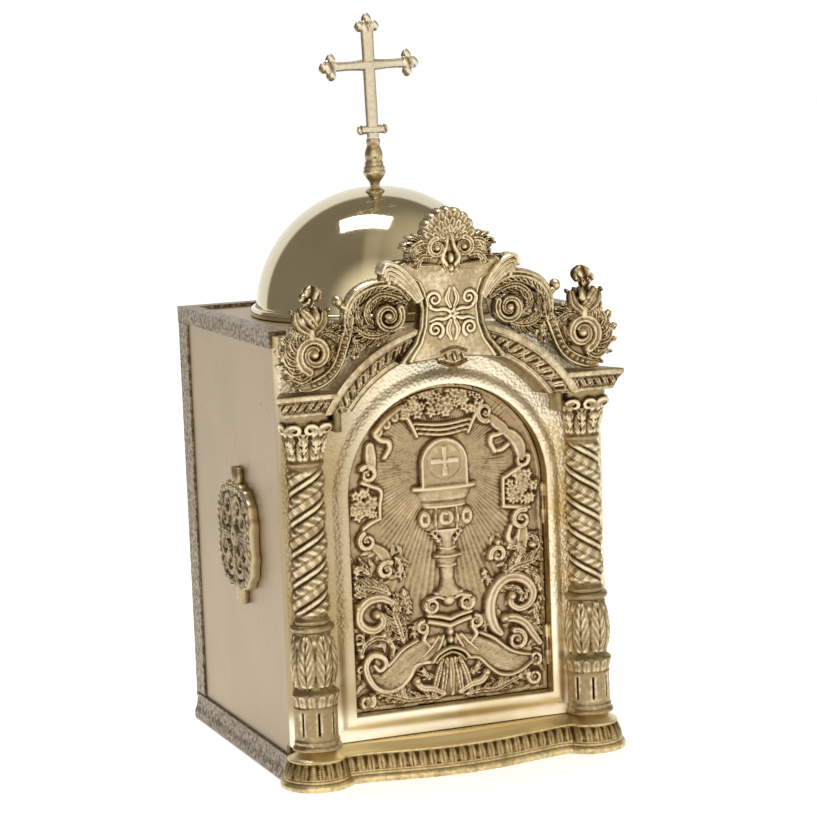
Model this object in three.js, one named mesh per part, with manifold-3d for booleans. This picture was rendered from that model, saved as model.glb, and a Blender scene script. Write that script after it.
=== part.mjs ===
import * as THREE from "three";
import Module from "manifold-3d";
import { mergeVertices } from "three/addons/utils/BufferGeometryUtils.js";

// A brass tabernacle: a plain sheet box on a moulded foot, with a cast arched front, two twisted
// columns, a relief door, a scrolled crest with a shield, a polished dome and a budded cross.
// Millimetres. X runs to the right, Y from front to back, Z up. The box front lies in y = 0 here,
// and the whole group is moved at the end so that the origin is under the middle of the object.

// Box of sheet brass.
const CASE_WIDTH = 312;
const CASE_DEPTH = 278;
const ROOF_TOP = 408;
const SHEET = 2.5;
const FIT = 0.3;

// Strips that cover the edges of the box.
const TRIM_FACE_HEIGHT = 15;
const TRIM_FLANGE_WIDTH = 14;
const TRIM_THICKNESS = 2.2;
const TRIM_FLANGE_RISE = 3.7;
const POST_WIDTH = 24;
const POST_THICKNESS = 1.9;
const SKIRT_HEIGHT = 26;
const SKIRT_SPREAD = 5;

// Arched front plate and its doorway.
const PLATE_THICKNESS = 13.7;
const PLATE_FOOT = 34.6;
const DOORWAY_HALF_WIDTH = 97;
const DOORWAY_SILL = 58.3;
const DOORWAY_SPRING = 257;
const RIM_REACH = 6.5;
const RIM_WIDTH = 12;

// Moulded foot of the front.
const COLUMN_SPACING = 270;
const COLUMN_AXIS_Y = -12.8;
const FOOT_RADIUS = 34.3;
const FOOT_BOW_FRONT = -48.5;
const FOOT_BOW_END = -33.5;
const FOOT_TOP = 34.3;

// Twisted columns.
const SHAFT_BOTTOM = 155.5;
const SHAFT_TOP = 290.5;
const SHAFT_RADIUS = 15.2;
const SHAFT_LOBE = 1.6;
const SHAFT_LEAD = 55.4;
const SHAFT_STARTS = 2;
const CAPITAL_TOP = 338.1;
const CAPITAL_HALF = 24;
const PEDESTAL_RADIUS = 20.3;
const VASE_RADIUS = 21;

// Cornice blocks over the columns and the arch between them.
const CORNICE_HALF_WIDTH = 167.8;
const CORNICE_HEIGHT = 19.1;
const CORNICE_TOP = CAPITAL_TOP + FIT + CORNICE_HEIGHT;
const CORNICE_INSET = 8.1;
const CORNICE_FRONT = -42.8;
const CORNICE_INNER = 104;
const ARCH_DROP = 86.5;
const ARCH_CENTRE_Z = CORNICE_TOP - ARCH_DROP;
const ARCH_OUTER = 141;
const ARCH_INNER = 112;

// Crest: scrolls, shield and palmette. Its marks are drawn for a cornice top at CREST_DRAWN_AT and
// lifted to the real one.
const CREST_DRAWN_AT = 357.5;
const CREST_LIFT = CORNICE_TOP - CREST_DRAWN_AT;
const CREST_THICKNESS = 9;
const CREST_FRONT = -41.5;
const VOLUTE_X = 131;
const VOLUTE_Z = 392;
const FINIAL_TOP = 455;
const FINIAL_RADIUS = 12.5;
const SHIELD_BACK = -31;
const SHIELD_FRONT = -44;

// Door leaf.
const DOOR_GAP = 1;
const DOOR_GROUND = -6.5;
const DOOR_THICKNESS = 4;
const HINGE_X = 94.2;
const HINGE_Y = -15.5;
const HINGE_RADIUS = 2.3;
const HINGE_PIN_RADIUS = 1;
const HINGE_PLAY = 0.1;
const HINGE_LENGTH = 35;
const HINGE_MIDDLES = [103.5, 236];

// Dome, its ring, and the cross on its knop.
const DOME_FRONT_ROOM = 16.6;
const DOME_REAR_ROOM = 1.4;
const DOME_RING_RADIUS = (CASE_DEPTH - TRIM_FLANGE_WIDTH - DOME_REAR_ROOM - DOME_FRONT_ROOM) / 2;
const DOME_RING_WIDTH = 5.2;
const DOME_RADIUS = DOME_RING_RADIUS - DOME_RING_WIDTH;
const DOME_CENTRE_Y = DOME_FRONT_ROOM + DOME_RING_RADIUS;
const DOME_SHELL = 2.2;
const DOME_RING_HEIGHT = 8.5;
const KNOP_HEIGHT = 44.6;
const KNOP_TOP = ROOF_TOP + 2 * FIT + DOME_RADIUS + KNOP_HEIGHT;
const CROSS_HEIGHT = 117.3;
const CROSS_SPAN = 101;
const CROSS_ARM_HEIGHT = 68.5;
const CROSS_BAR = 11.6;
const CROSS_THICKNESS = 7;
const CROSS_LEAN = 0.02;

// Side medallions.
const MEDALLION_WIDTH = 113;
const MEDALLION_HEIGHT = 128;
const MEDALLION_Y = 108;
const MEDALLION_Z = 212;
const MEDALLION_THICKNESS = 11.5;

const wasm = await Module();
wasm.setup();
const { cos, sin, PI, max, min, abs } = Math;
const group = new THREE.Group();

// Closes a surface over rings of points; extra triangles or fans close its two ends.
function closedSurface(rings, ends, loop) {
  const n = rings[0].length;
  const points = rings.flat();
  const index = [];
  const spans = loop ? rings.length : rings.length - 1;
  for (let i = 0; i < spans; i++) {
    const a = i * n;
    const b = ((i + 1) % rings.length) * n;
    for (let j = 0; j < n; j++) {
      const k = (j + 1) % n;
      index.push(a + j, a + k, b + k, a + j, b + k, b + j);
    }
  }
  const last = (rings.length - 1) * n;
  if (ends.triangles) {
    for (const [p, q, r] of ends.triangles) index.push(p, r, q, last + p, last + q, last + r);
  }
  if (ends.middles) {
    const [first, final] = ends.middles;
    points.push(first, final);
    for (let j = 0; j < n; j++) {
      const k = (j + 1) % n;
      index.push(points.length - 2, k, j, points.length - 1, last + j, last + k);
    }
  }
  const geometry = new THREE.BufferGeometry();
  const numbers = points.flatMap((p) => [p.x, p.y, p.z]);
  geometry.setAttribute("position", new THREE.Float32BufferAttribute(numbers, 3));
  geometry.setIndex(index);
  return geometry;
}

// Turns a closed geometry into a solid that faces outwards and can be joined and cut.
function solid(geometry) {
  const loose = geometry.index ? geometry.toNonIndexed() : geometry.clone();
  loose.deleteAttribute("normal");
  loose.deleteAttribute("uv");
  const merged = mergeVertices(loose, 1e-3);
  const build = (triVerts) =>
    new wasm.Manifold(
      new wasm.Mesh({ numProp: 3, vertProperties: merged.attributes.position.array, triVerts })
    );
  const triVerts = new Uint32Array(merged.index.array);
  const made = build(triVerts);
  return made.volume() > 0 ? made : build(triVerts.reverse());
}

const join = (solids) => solids.reduce((sum, part) => sum.add(part));

// Adds a solid to the group as one named piece.
function piece(name, body, colour, roughness, metalness) {
  const mesh = body.getMesh();
  const position = new Float32Array(mesh.numVert * 3);
  for (let i = 0; i < mesh.numVert; i++) {
    position.set(mesh.vertProperties.subarray(i * mesh.numProp, i * mesh.numProp + 3), i * 3);
  }
  const geometry = new THREE.BufferGeometry();
  geometry.setAttribute("position", new THREE.BufferAttribute(position, 3));
  geometry.setIndex(new THREE.BufferAttribute(mesh.triVerts, 1));
  geometry.computeVertexNormals();
  const material = new THREE.MeshStandardMaterial({ color: colour, roughness, metalness, flatShading: true });
  const made = new THREE.Mesh(geometry, material);
  made.name = name;
  group.add(made);
  return made;
}

const point = (x, y, z) => new THREE.Vector3(x, y, z);

function box(x0, x1, y0, y1, z0, z1) {
  const geometry = new THREE.BoxGeometry(x1 - x0, y1 - y0, z1 - z0);
  geometry.translate((x0 + x1) / 2, (y0 + y1) / 2, (z0 + z1) / 2);
  return solid(geometry);
}

// Carries a closed flat profile of [a, b] pairs through stations, each a function from a and b to a point.
function sweep(profile, stations, loop = false) {
  const contour = profile.map(([a, b]) => new THREE.Vector2(a, b));
  let triangles = THREE.ShapeUtils.triangulateShape(contour, []);
  if (THREE.ShapeUtils.isClockWise(contour)) triangles = triangles.map(([p, q, r]) => [p, r, q]);
  const rings = stations.map((place) => profile.map(([a, b]) => place(a, b)));
  return solid(closedSurface(rings, loop ? {} : { triangles }, loop));
}

// Turns a profile of [radius, height] pairs about a vertical axis.
// bulge changes the radius with angle and height; poles are the heights of the two end points on the axis.
function turned(profile, x, y, segments, bulge = () => 0, poles = undefined) {
  poles ??= [profile[0][1], profile[profile.length - 1][1]];
  const rings = profile.map(([r, z]) =>
    Array.from({ length: segments }, (_, i) => {
      const angle = (2 * PI * i) / segments;
      const radius = r + bulge(angle, z, r);
      return point(x + radius * cos(angle), y + radius * sin(angle), z);
    })
  );
  const middles = [point(x, y, poles[0]), point(x, y, poles[1])];
  return solid(closedSurface(rings, { middles }, false));
}

// A flat strip between two depths along a line of [x, z, halfWidth] triples, narrower at its front by draft.
function strip(line, back, front, draft = 0.25) {
  const rings = line.map(([x, z, half], i) => {
    const before = line[max(i - 1, 0)];
    const after = line[min(i + 1, line.length - 1)];
    const length = Math.hypot(after[0] - before[0], after[1] - before[1]);
    const nx = -(after[1] - before[1]) / length;
    const nz = (after[0] - before[0]) / length;
    const at = (offset, y) => point(x + nx * offset, y, z + nz * offset);
    const inner = half * (1 - draft);
    return [at(-half, back), at(-inner, front), at(inner, front), at(half, back)];
  });
  return solid(closedSurface(rings, { triangles: [[0, 1, 2], [0, 2, 3]] }, false));
}

// A curling line about a centre: the radius runs from one value to another while the angle turns.
function curl(cx, cz, startAngle, turn, startRadius, endRadius, startHalf, endHalf, steps) {
  return Array.from({ length: steps + 1 }, (_, i) => {
    const t = i / steps;
    const angle = startAngle + turn * t;
    const radius = startRadius + (endRadius - startRadius) * t;
    return [cx + radius * cos(angle), cz + radius * sin(angle), startHalf + (endHalf - startHalf) * t];
  });
}

// A smooth line through a few [x, z, halfWidth] triples.
function smooth(marks, steps) {
  const corners = marks.map(([x, z, half]) => point(x, half, z));
  const line = new THREE.CatmullRomCurve3(corners, false, "centripetal");
  return line.getPoints(steps).map((p) => [p.x, p.z, p.y]);
}

// A low round boss that stands on a back plane and faces the front.
function boss(x, z, radius, back, front, segments = 12) {
  const ring = (r, y) =>
    Array.from({ length: segments }, (_, i) => {
      const angle = (2 * PI * i) / segments;
      return point(x + r * cos(angle), y, z + r * sin(angle));
    });
  const shoulder = front + (back - front) * 0.35;
  const rings = [ring(radius, back), ring(radius, shoulder), ring(radius * 0.72, front)];
  return solid(closedSurface(rings, { middles: [point(x, back, z), point(x, front, z)] }, false));
}

const mirrored = (body) => body.mirror([1, 0, 0]);
const HALF = CASE_WIDTH / 2;
const COLUMN_X = COLUMN_SPACING / 2;
const PLATE_FRONT = -FIT - PLATE_THICKNESS;
const ON_PLATE = PLATE_FRONT - FIT;
const TRIM_TOP = ROOF_TOP + TRIM_FLANGE_RISE;

// Box: floor, two side walls, back wall and roof, soldered at their edges and covered by the strips.
const PALE = 0xbfae8e;
const GOLD = 0xc8a968;
const CAST = 0xa98d56;
const wallTop = ROOF_TOP - SHEET - FIT;
const inside = HALF - SHEET - FIT;
piece("floor_panel", box(-inside, inside, 0, CASE_DEPTH - SHEET - FIT, 0, SHEET), PALE, 0.45, 0.9);
piece("left_wall", box(-HALF, -HALF + SHEET, 0, CASE_DEPTH, 0, wallTop), PALE, 0.35, 0.9);
piece("right_wall", box(HALF - SHEET, HALF, 0, CASE_DEPTH, 0, wallTop), PALE, 0.35, 0.9);
piece("back_wall", box(-inside, inside, CASE_DEPTH - SHEET, CASE_DEPTH, 0, wallTop), PALE, 0.45, 0.9);
piece("roof_panel", box(-HALF, HALF, 0, CASE_DEPTH, ROOF_TOP - SHEET, ROOF_TOP), PALE, 0.35, 0.9);

// Stations along the left side, the back and the right side of the box; steps round each back corner.
function roundTheBox(startY, steps) {
  const stations = [(o, z) => point(-HALF - o, startY, z)];
  for (const side of [-1, 1]) {
    for (let i = 0; i <= steps; i++) {
      const angle = side < 0 ? PI - (PI / 2) * (i / steps) : PI / 2 - (PI / 2) * (i / steps);
      const spread = steps === 0 ? 1 : 0;
      const dx = spread ? side : cos(angle);
      const dy = spread ? 1 : sin(angle);
      stations.push((o, z) => point(side * HALF + dx * o, CASE_DEPTH + dy * o, z));
    }
  }
  stations.push((o, z) => point(HALF + o, startY, z));
  return stations;
}

// Embossed angle strip round the top edge of the box.
const trimOut = FIT + TRIM_THICKNESS;
const trimProfile = [
  [FIT, TRIM_TOP - TRIM_FACE_HEIGHT],
  [trimOut, TRIM_TOP - TRIM_FACE_HEIGHT],
  [trimOut, TRIM_TOP],
  [-TRIM_FLANGE_WIDTH, TRIM_TOP],
  [-TRIM_FLANGE_WIDTH, ROOF_TOP + FIT],
  [FIT, ROOF_TOP + FIT],
];
piece("top_trim", sweep(trimProfile, roundTheBox(0, 0)), CAST, 0.55, 0.8);

// Embossed angle strips on the two back corners.
function cornerPost(side) {
  const inner = FIT;
  const outer = FIT + POST_THICKNESS;
  const plan = [
    [inner, -POST_WIDTH],
    [outer, -POST_WIDTH],
    [outer, outer],
    [-POST_WIDTH, outer],
    [-POST_WIDTH, inner],
    [inner, inner],
  ];
  const level = (z) => (a, b) => point(side * (HALF + a), CASE_DEPTH + b, z);
  return sweep(plan, [level(SKIRT_HEIGHT + FIT), level(TRIM_TOP - TRIM_FACE_HEIGHT - FIT)]);
}
piece("left_corner_strip", cornerPost(-1), CAST, 0.55, 0.8);
piece("right_corner_strip", cornerPost(1), CAST, 0.55, 0.8);

// Foot moulding: how far each level stands in from the widest line, for the round ends and the bow alike.
const footLevels = [
  [0.8, 0],
  [0, 2.6],
  [0.6, 5.6],
  [3.2, 7.4],
  [3.4, 10],
  [4.2, 16.5],
  [8.4, 24.5],
];
const footEnds = (grow) => {
  const profile = footLevels.map(([inset, z]) => [FOOT_RADIUS - inset + grow, z]);
  profile.push([FOOT_RADIUS - 11 + grow, FOOT_TOP]);
  const right = turned(profile, COLUMN_X, COLUMN_AXIS_Y, 20);
  return [right, mirrored(right)];
};

// The bow between the round ends, its top sloping up to the front plate.
function footBow() {
  const reach = COLUMN_X;
  const steps = 14;
  const bow = FOOT_BOW_FRONT - FOOT_BOW_END;
  const swell = (x) => FOOT_BOW_END + bow * cos((PI / 2) * min(1, abs(x) / 100)) ** 1.3;
  const ring = (inset, z, straight) => {
    const front = Array.from({ length: steps + 1 }, (_, i) => {
      const x = -reach + (2 * reach * i) / steps;
      return point(x, straight ? ON_PLATE - 0.4 : swell(x) + inset, z);
    });
    return [...front, point(reach, -FIT, z), point(-reach, -FIT, z)];
  };
  const rings = footLevels.map(([inset, z]) => ring(inset, z, false));
  rings.push(ring(0, FOOT_TOP, true));
  const contour = rings[0].map((p) => new THREE.Vector2(p.x, p.y));
  let triangles = THREE.ShapeUtils.triangulateShape(contour, []);
  if (THREE.ShapeUtils.isClockWise(contour)) triangles = triangles.map(([p, q, r]) => [p, r, q]);
  return solid(closedSurface(rings, { triangles }, false));
}
const caseRoom = box(-HALF - FIT, HALF + FIT, -FIT, CASE_DEPTH, -1, FOOT_TOP + 1);
piece("front_foot", join([footBow(), ...footEnds(0)]).subtract(caseRoom), CAST, 0.4, 0.85);

// Plain moulded skirting round the other three sides, its front ends cut to the round ends of the foot.
const skirtProfile = [
  [FIT, 0],
  [SKIRT_SPREAD, 0],
  [SKIRT_SPREAD + 1.2, 3],
  [SKIRT_SPREAD + 0.6, 8],
  [SKIRT_SPREAD - 1.4, 12.5],
  [2.8, 18],
  [2.5, 22],
  [3.4, 23.5],
  [3.4, SKIRT_HEIGHT],
  [FIT, SKIRT_HEIGHT],
];
const skirt = sweep(skirtProfile, roundTheBox(0.3, 3));
piece("skirting", skirt.subtract(join(footEnds(FIT))), CAST, 0.5, 0.85);

// Doorway outline as a closed line, pushed outwards by an offset: sill, right jamb, arch, left jamb.
function doorwayLine(offset, steps) {
  const half = DOORWAY_HALF_WIDTH + offset;
  const line = [
    [-half, DOORWAY_SILL - offset],
    [half, DOORWAY_SILL - offset],
  ];
  for (let i = 0; i <= steps; i++) {
    const angle = (PI * i) / steps;
    line.push([half * cos(angle), DOORWAY_SPRING + half * sin(angle)]);
  }
  return line;
}

function doorwayPrism(offset, y0, y1, steps) {
  const line = doorwayLine(offset, steps);
  const at = (y) => (x, z) => point(x, y, z);
  return sweep(line, [at(y0), at(y1)]);
}

// Front plate with its doorway and the raised rim that frames the door.
function frontPlate() {
  const slab = box(-HALF, HALF, PLATE_FRONT, -FIT, PLATE_FOOT, ROOF_TOP);
  const steps = 20;
  const rimProfile = [
    [0, PLATE_FRONT + 4],
    [0, PLATE_FRONT - RIM_REACH + 1],
    [1.5, PLATE_FRONT - RIM_REACH],
    [4.5, PLATE_FRONT - RIM_REACH + 0.2],
    [7, PLATE_FRONT - RIM_REACH * 0.55],
    [RIM_WIDTH, PLATE_FRONT - 0.2],
    [RIM_WIDTH, PLATE_FRONT + 4],
  ];
  const stations = doorwayLine(0, steps).map((_, i) => (offset, y) => {
    const [x, z] = doorwayLine(offset, steps)[i];
    return point(x, y, z);
  });
  const rim = sweep(rimProfile, stations, true);
  return slab.add(rim).subtract(doorwayPrism(0, PLATE_FRONT - RIM_REACH - 2, 1, steps));
}
piece("front_plate", frontPlate(), GOLD, 0.35, 0.9);

// Twisted column, cast with its pedestal, leaf vase and capital, flat at the back.
const pedestal = [
  [23, FOOT_TOP + FIT],
  [23, 37],
  [21.6, 39.5],
  [PEDESTAL_RADIUS, 44],
  [PEDESTAL_RADIUS, 73],
  [PEDESTAL_RADIUS - 1, 77],
  [PEDESTAL_RADIUS + 0.8, 86],
  [VASE_RADIUS - 3.2, 90],
  [VASE_RADIUS - 0.8, 101],
  [VASE_RADIUS, 114],
  [VASE_RADIUS - 1.6, 128],
  [VASE_RADIUS - 4, 140],
  [VASE_RADIUS - 1, 143.5],
  [VASE_RADIUS - 0.8, 148],
  [SHAFT_RADIUS + 1.2, 150.5],
];
const shaft = Array.from({ length: 20 }, (_, i) => [
  SHAFT_RADIUS,
  SHAFT_BOTTOM + ((SHAFT_TOP - SHAFT_BOTTOM) * i) / 19,
]);
const capital = [
  [SHAFT_RADIUS + 2, SHAFT_TOP + 3],
  [SHAFT_RADIUS + 0.6, SHAFT_TOP + 6],
  [SHAFT_RADIUS + 1.2, SHAFT_TOP + 17],
  [SHAFT_RADIUS + 4, SHAFT_TOP + 27],
  [CAPITAL_HALF - 1, SHAFT_TOP + 35],
  [CAPITAL_HALF, SHAFT_TOP + 41],
  [CAPITAL_HALF - 2.4, CAPITAL_TOP - 4],
  [CAPITAL_HALF - 2.4, CAPITAL_TOP],
];
function column(side) {
  const form = (angle, z, radius) => {
    const within = max(0, min(1, (z - SHAFT_BOTTOM + 1) / 6, (SHAFT_TOP + 1 - z) / 6));
    const phase = SHAFT_STARTS * (angle + (side * 2 * PI * (z - SHAFT_BOTTOM)) / SHAFT_LEAD);
    const square = max(0, min(1, (z - SHAFT_TOP - 22) / 14));
    const corner = (abs(cos(angle)) ** 4 + abs(sin(angle)) ** 4) ** -0.25 - 1;
    return SHAFT_LOBE * within * cos(phase) + radius * square * corner;
  };
  const whole = turned([...pedestal, ...shaft, ...capital], side * COLUMN_X, COLUMN_AXIS_Y, 14, form);
  const front = box(side * COLUMN_X - 40, side * COLUMN_X + 40, -60, ON_PLATE, 0, CAPITAL_TOP + 5);
  return whole.intersect(front);
}
piece("left_column", column(-1), CAST, 0.35, 0.9);
piece("right_column", column(1), CAST, 0.35, 0.9);

// Cornice: a block over each column and the arch that springs between them, cast in one.
function corniceBlock() {
  const bottom = CORNICE_TOP - CORNICE_HEIGHT;
  const levels = [
    [CORNICE_INSET, bottom],
    [CORNICE_INSET - 0.6, bottom + 3],
    [2, CORNICE_TOP - 5],
    [0, CORNICE_TOP - 4],
    [0, CORNICE_TOP],
  ];
  const rings = levels.map(([inset, z]) => [
    point(CORNICE_INNER, ON_PLATE, z),
    point(CORNICE_INNER, CORNICE_FRONT + inset, z),
    point(CORNICE_HALF_WIDTH - inset, CORNICE_FRONT + inset, z),
    point(HALF, ON_PLATE, z),
  ]);
  return solid(closedSurface(rings, { triangles: [[0, 1, 2], [0, 2, 3]] }, false));
}

function corniceArch() {
  const profile = [
    [ARCH_INNER, ON_PLATE],
    [ARCH_INNER + 1.5, ON_PLATE - 9],
    [ARCH_INNER + 6, ON_PLATE - 18],
    [ARCH_INNER + 8.5, ON_PLATE - 20],
    [ARCH_INNER + 10.5, ON_PLATE - 20],
    [ARCH_OUTER - 8, CORNICE_FRONT + 2.6],
    [ARCH_OUTER - 7, CORNICE_FRONT],
    [ARCH_OUTER, CORNICE_FRONT],
    [ARCH_OUTER, ON_PLATE],
  ];
  const steps = 22;
  const stations = Array.from({ length: steps + 1 }, (_, i) => {
    const angle = (PI * i) / steps;
    return (r, y) => point(r * cos(angle), y, ARCH_CENTRE_Z + r * sin(angle));
  });
  const above = box(-200, 200, -80, 0, CORNICE_TOP - CORNICE_HEIGHT, 500);
  return sweep(profile, stations).intersect(above);
}
const springer = box(CORNICE_INNER + 0.5, COLUMN_X - CAPITAL_HALF - FIT, -31, ON_PLATE, 321, CORNICE_TOP - 2);

// Side crest: an S of two scrolls over the cornice block, with a budded finial, pierced between the bands.
function sideCrest() {
  const back = CREST_FRONT + CREST_THICKNESS;
  const front = CREST_FRONT;
  const base = CREST_DRAWN_AT + FIT;
  const outerLeaf = strip(curl(VOLUTE_X, VOLUTE_Z, 2.2, -4.2, 19, 22, 9, 11, 9), back, front + 1);
  const volute = boss(VOLUTE_X, VOLUTE_Z, 12, back, front - 2, 10);
  const lower = strip(
    smooth([[98, 404, 5], [101, 388, 5], [106, 374, 5.5], [118, 365, 6], [134, 364, 6]], 7),
    back,
    front - 0.6,
  );
  const upper = strip(
    smooth([[99, 402, 5], [97, 424, 5], [90, 439, 5], [74, 450, 5], [57, 448, 5], [44, 440, 4]], 8),
    back,
    front - 0.6,
  );
  const inner = strip(curl(57, 423, 2.4, 4.6, 17, 14, 4.5, 5, 8), back, front);
  const eye = boss(57, 423, 11, back, front - 2, 8);
  const web = strip([[99, 403, 6], [86, 409, 5], [72, 412, 5], [64, 416, 5]], back, front + 1);
  const voluteWeb = strip([[104, 402, 4], [116, 404, 6], [128, 398, 7]], back, front + 1);
  const tip = strip([[96, 430, 4], [103, 436, 4], [108, 441, 3]], back, front + 1);
  const foot = box(CORNICE_INNER + 14, 150, front + 1, back, base, base + 5);
  const finial = turned(
    [
      [5, 410], [FINIAL_RADIUS - 0.5, 422], [FINIAL_RADIUS, 429], [6, 438], [FINIAL_RADIUS - 2, 445],
      [FINIAL_RADIUS - 2.5, 450], [4, FINIAL_TOP],
    ],
    VOLUTE_X + 1.5, (front + back) / 2, 8);
  const drawn = join([outerLeaf, volute, lower, upper, inner, eye, web, voluteWeb, tip, foot, finial]);
  return drawn.translate([0, 0, CREST_LIFT]);
}

// Shield outline from the bottom up its right side and down its left, pushed outwards by grow.
const shieldSide = [
  [11, 390],
  [19, 384],
  [30, 379.5],
  [44, 377.5],
  [52, 379],
  [48, 386],
  [38, 396],
  [32, 410],
  [30, 425],
  [32.5, 440],
  [39, 452],
  [50, 452],
  [59, 454],
  [64, 460],
  [61, 467],
  [52, 471],
  [44, 469],
  [36, 463],
  [24, 459],
];
function shieldPrism(grow, back, front) {
  const right = shieldSide.map(([x, z], i) => {
    const before = shieldSide[max(i - 1, 0)];
    const after = shieldSide[min(i + 1, shieldSide.length - 1)];
    const dx = after[0] - before[0];
    const dz = after[1] - before[1];
    const length = Math.hypot(dx, dz);
    return [x + (grow * dz) / length, z - (grow * dx) / length];
  });
  const left = right.map(([x, z]) => [-x, z]).reverse();
  const at = (y) => (x, z) => point(x, y, z);
  return sweep([...right, ...left], [at(back), at(front)]).translate([0, 0, CREST_LIFT]);
}

// Outer edge of the arch as a prism; the crest rests on it, with a fitting gap when grown.
function archRoom(grow) {
  const steps = 26;
  const line = Array.from({ length: steps + 1 }, (_, i) => {
    const angle = (PI * i) / steps;
    return [(ARCH_OUTER + grow) * cos(angle), ARCH_CENTRE_Z + (ARCH_OUTER + grow) * sin(angle)];
  });
  const at = (y) => (x, z) => point(x, y, z);
  return sweep(line, [at(-90), at(30)]);
}
const rosetteBack = SHIELD_BACK + 12;
const rosetteReach = 16 + FIT;
const rosetteBox = box(-rosetteReach, rosetteReach, -90, rosetteBack + FIT, 370, 396);
const rosetteRoom = rosetteBox.translate([0, 0, CREST_LIFT]);
const shieldRoom = shieldPrism(FIT, SHIELD_BACK + FIT, -90).add(rosetteRoom);
const blockRoom = box(-200, 200, -90, 30, 300, CORNICE_TOP + FIT);
const rightCrest = sideCrest().subtract(join([archRoom(FIT), shieldRoom, blockRoom]));
piece("right_scroll", rightCrest, CAST, 0.4, 0.85);
piece("left_scroll", mirrored(rightCrest), CAST, 0.4, 0.85);

const rightBlock = corniceBlock().add(springer);
const cornice = join([corniceArch(), rightBlock, mirrored(rightBlock)]);
piece("arched_cornice", cornice.subtract(shieldRoom), CAST, 0.4, 0.85);

// Shield with rolled ears, a rosette below and a palmette of two scrolls above, cast in one.
function shield() {
  const field = shieldPrism(0, SHIELD_BACK, SHIELD_FRONT);
  const edge = [-1, 1].map((side) =>
    strip(
      smooth(
        [[44, 384, 2.4], [34, 396, 2.4], [28, 424, 2.4], [35, 448, 2.6], [48, 463, 4.5], [58, 463, 4]],
        6,
      ).map(([x, z, half]) => [side * x, z, half]),
      SHIELD_BACK - 1,
      SHIELD_FRONT - 3
    )
  );
  const rosette = strip([[-16, 383, 3], [-10, 383, 9], [0, 383, 11.5], [10, 383, 9], [16, 383, 3]],
    rosetteBack, SHIELD_BACK - 3);
  const neckLine = [[0, 452, 5], [0, 462, 14], [0, 474, 24], [0, 480, 28]];
  const neck = strip(neckLine, SHIELD_BACK + 1, SHIELD_FRONT + 1);
  const fan = boss(0, 490, 24, SHIELD_BACK + 1, SHIELD_FRONT + 3, 12);
  const eyes = [-1, 1].map((side) => boss(side * 14, 478, 9, SHIELD_BACK + 2, SHIELD_FRONT - 2, 8));
  const wings = [-1, 1].map((side) =>
    strip([[side * 18, 480, 5], [side * 30, 482, 5], [side * 39, 479, 3]], SHIELD_BACK + 2, SHIELD_FRONT + 1)
  );
  const drawn = join([...edge, rosette, neck, fan, ...eyes, ...wings]);
  return field.add(drawn.translate([0, 0, CREST_LIFT]));
}
piece("crest_shield", shield(), GOLD, 0.38, 0.9);

// Door leaf: an arched plate with its raised chalice, host, crown, horns, scrolls and ribbon frame.
const leafBack = DOOR_GROUND + DOOR_THICKNESS;
const root = DOOR_GROUND + 1;
const raised = (height) => DOOR_GROUND - height;
const both = (make) => [make(1), make(-1)];
const turnedSide = (line, side) => line.map(([x, z, half]) => [side * x, z, half]);
function doorLeaf() {
  const leaf = doorwayPrism(-DOOR_GAP, DOOR_GROUND, leafBack, 20);
  const chalice = strip(
    [
      [0, 126, 21], [0, 137, 22], [0, 141, 18], [0, 156, 17], [0, 160, 10], [0, 172, 6.5], [0, 186, 10],
      [0, 194, 14], [0, 201, 9], [0, 213, 8], [0, 222, 25], [0, 238, 26], [0, 241, 20],
      [0, 255, 30], [0, 261, 31.5],
    ],
    root, raised(7.5), 0.2
  );
  const host = boss(0, 279, 24.5, root, raised(5.5), 14);
  const crown = strip([[0, 307, 24], [0, 320, 30], [0, 333, 37], [0, 344, 34]], root, raised(6.5), 0.2);
  const shell = boss(0, 84, 19, root, raised(6), 14);
  const shellFoot = strip([[0, 64, 14], [0, 72, 20], [0, 84, 18]], root, raised(5.5));
  const horns = both((side) =>
    strip(turnedSide(smooth([[8, 120, 10], [28, 110, 13], [46, 97, 13], [62, 87, 9], [76, 90, 5]], 6), side),
      root, raised(6.5), 0.35)
  );
  const upperCurls = both((side) =>
    strip(turnedSide(curl(69, 147, -2.2, 4.6, 18, 15, 6, 4, 6), side), root, raised(6.5), 0.35)
  );
  const lowerCurls = both((side) =>
    strip(turnedSide(curl(69, 107, 2.6, -4.2, 16, 13, 6, 4, 6), side), root, raised(6.5), 0.35)
  );
  const curlEyes = both((side) => boss(side * 69, 147, 8, root, raised(5.5), 6));
  const lowerEyes = both((side) => boss(side * 69, 107, 7, root, raised(5.5), 6));
  const leafRow = both((side) =>
    strip(
      turnedSide([[18, 66, 4], [36, 69, 6], [60, 70, 6], [76, 74, 6], [88, 72, 6]], side),
      root,
      raised(5),
      0.35,
    )
  );
  const ribbon = both((side) =>
    strip(turnedSide(
      [[42, 318, 7], [54, 312, 6], [61, 303, 7], [72, 292, 7], [79, 278, 7], [80, 262, 14], [80, 246, 16],
        [80, 232, 12], [77, 222, 8], [75, 208, 5], [74, 190, 5], [74, 172, 8]],
      side), root, raised(5.5), 0.35)
  );
  const lugs = hingeLevels.map(([, lower, upper]) => hingeRing(lower + FIT, upper - FIT, -1));
  return join([
    leaf, chalice, host, crown, shell, shellFoot, ...horns, ...upperCurls, ...lowerCurls, ...curlEyes,
    ...lowerEyes, ...leafRow, ...ribbon, ...lugs,
  ]);
}

// Hinges: each level gives the foot of the lower ring, the two ends of the door's ring, and the top.
const hingeLevels = HINGE_MIDDLES.map((middle) => [
  middle - HINGE_LENGTH / 2,
  middle - HINGE_LENGTH * 0.18,
  middle + HINGE_LENGTH * 0.18,
  middle + HINGE_LENGTH / 2,
]);
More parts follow.
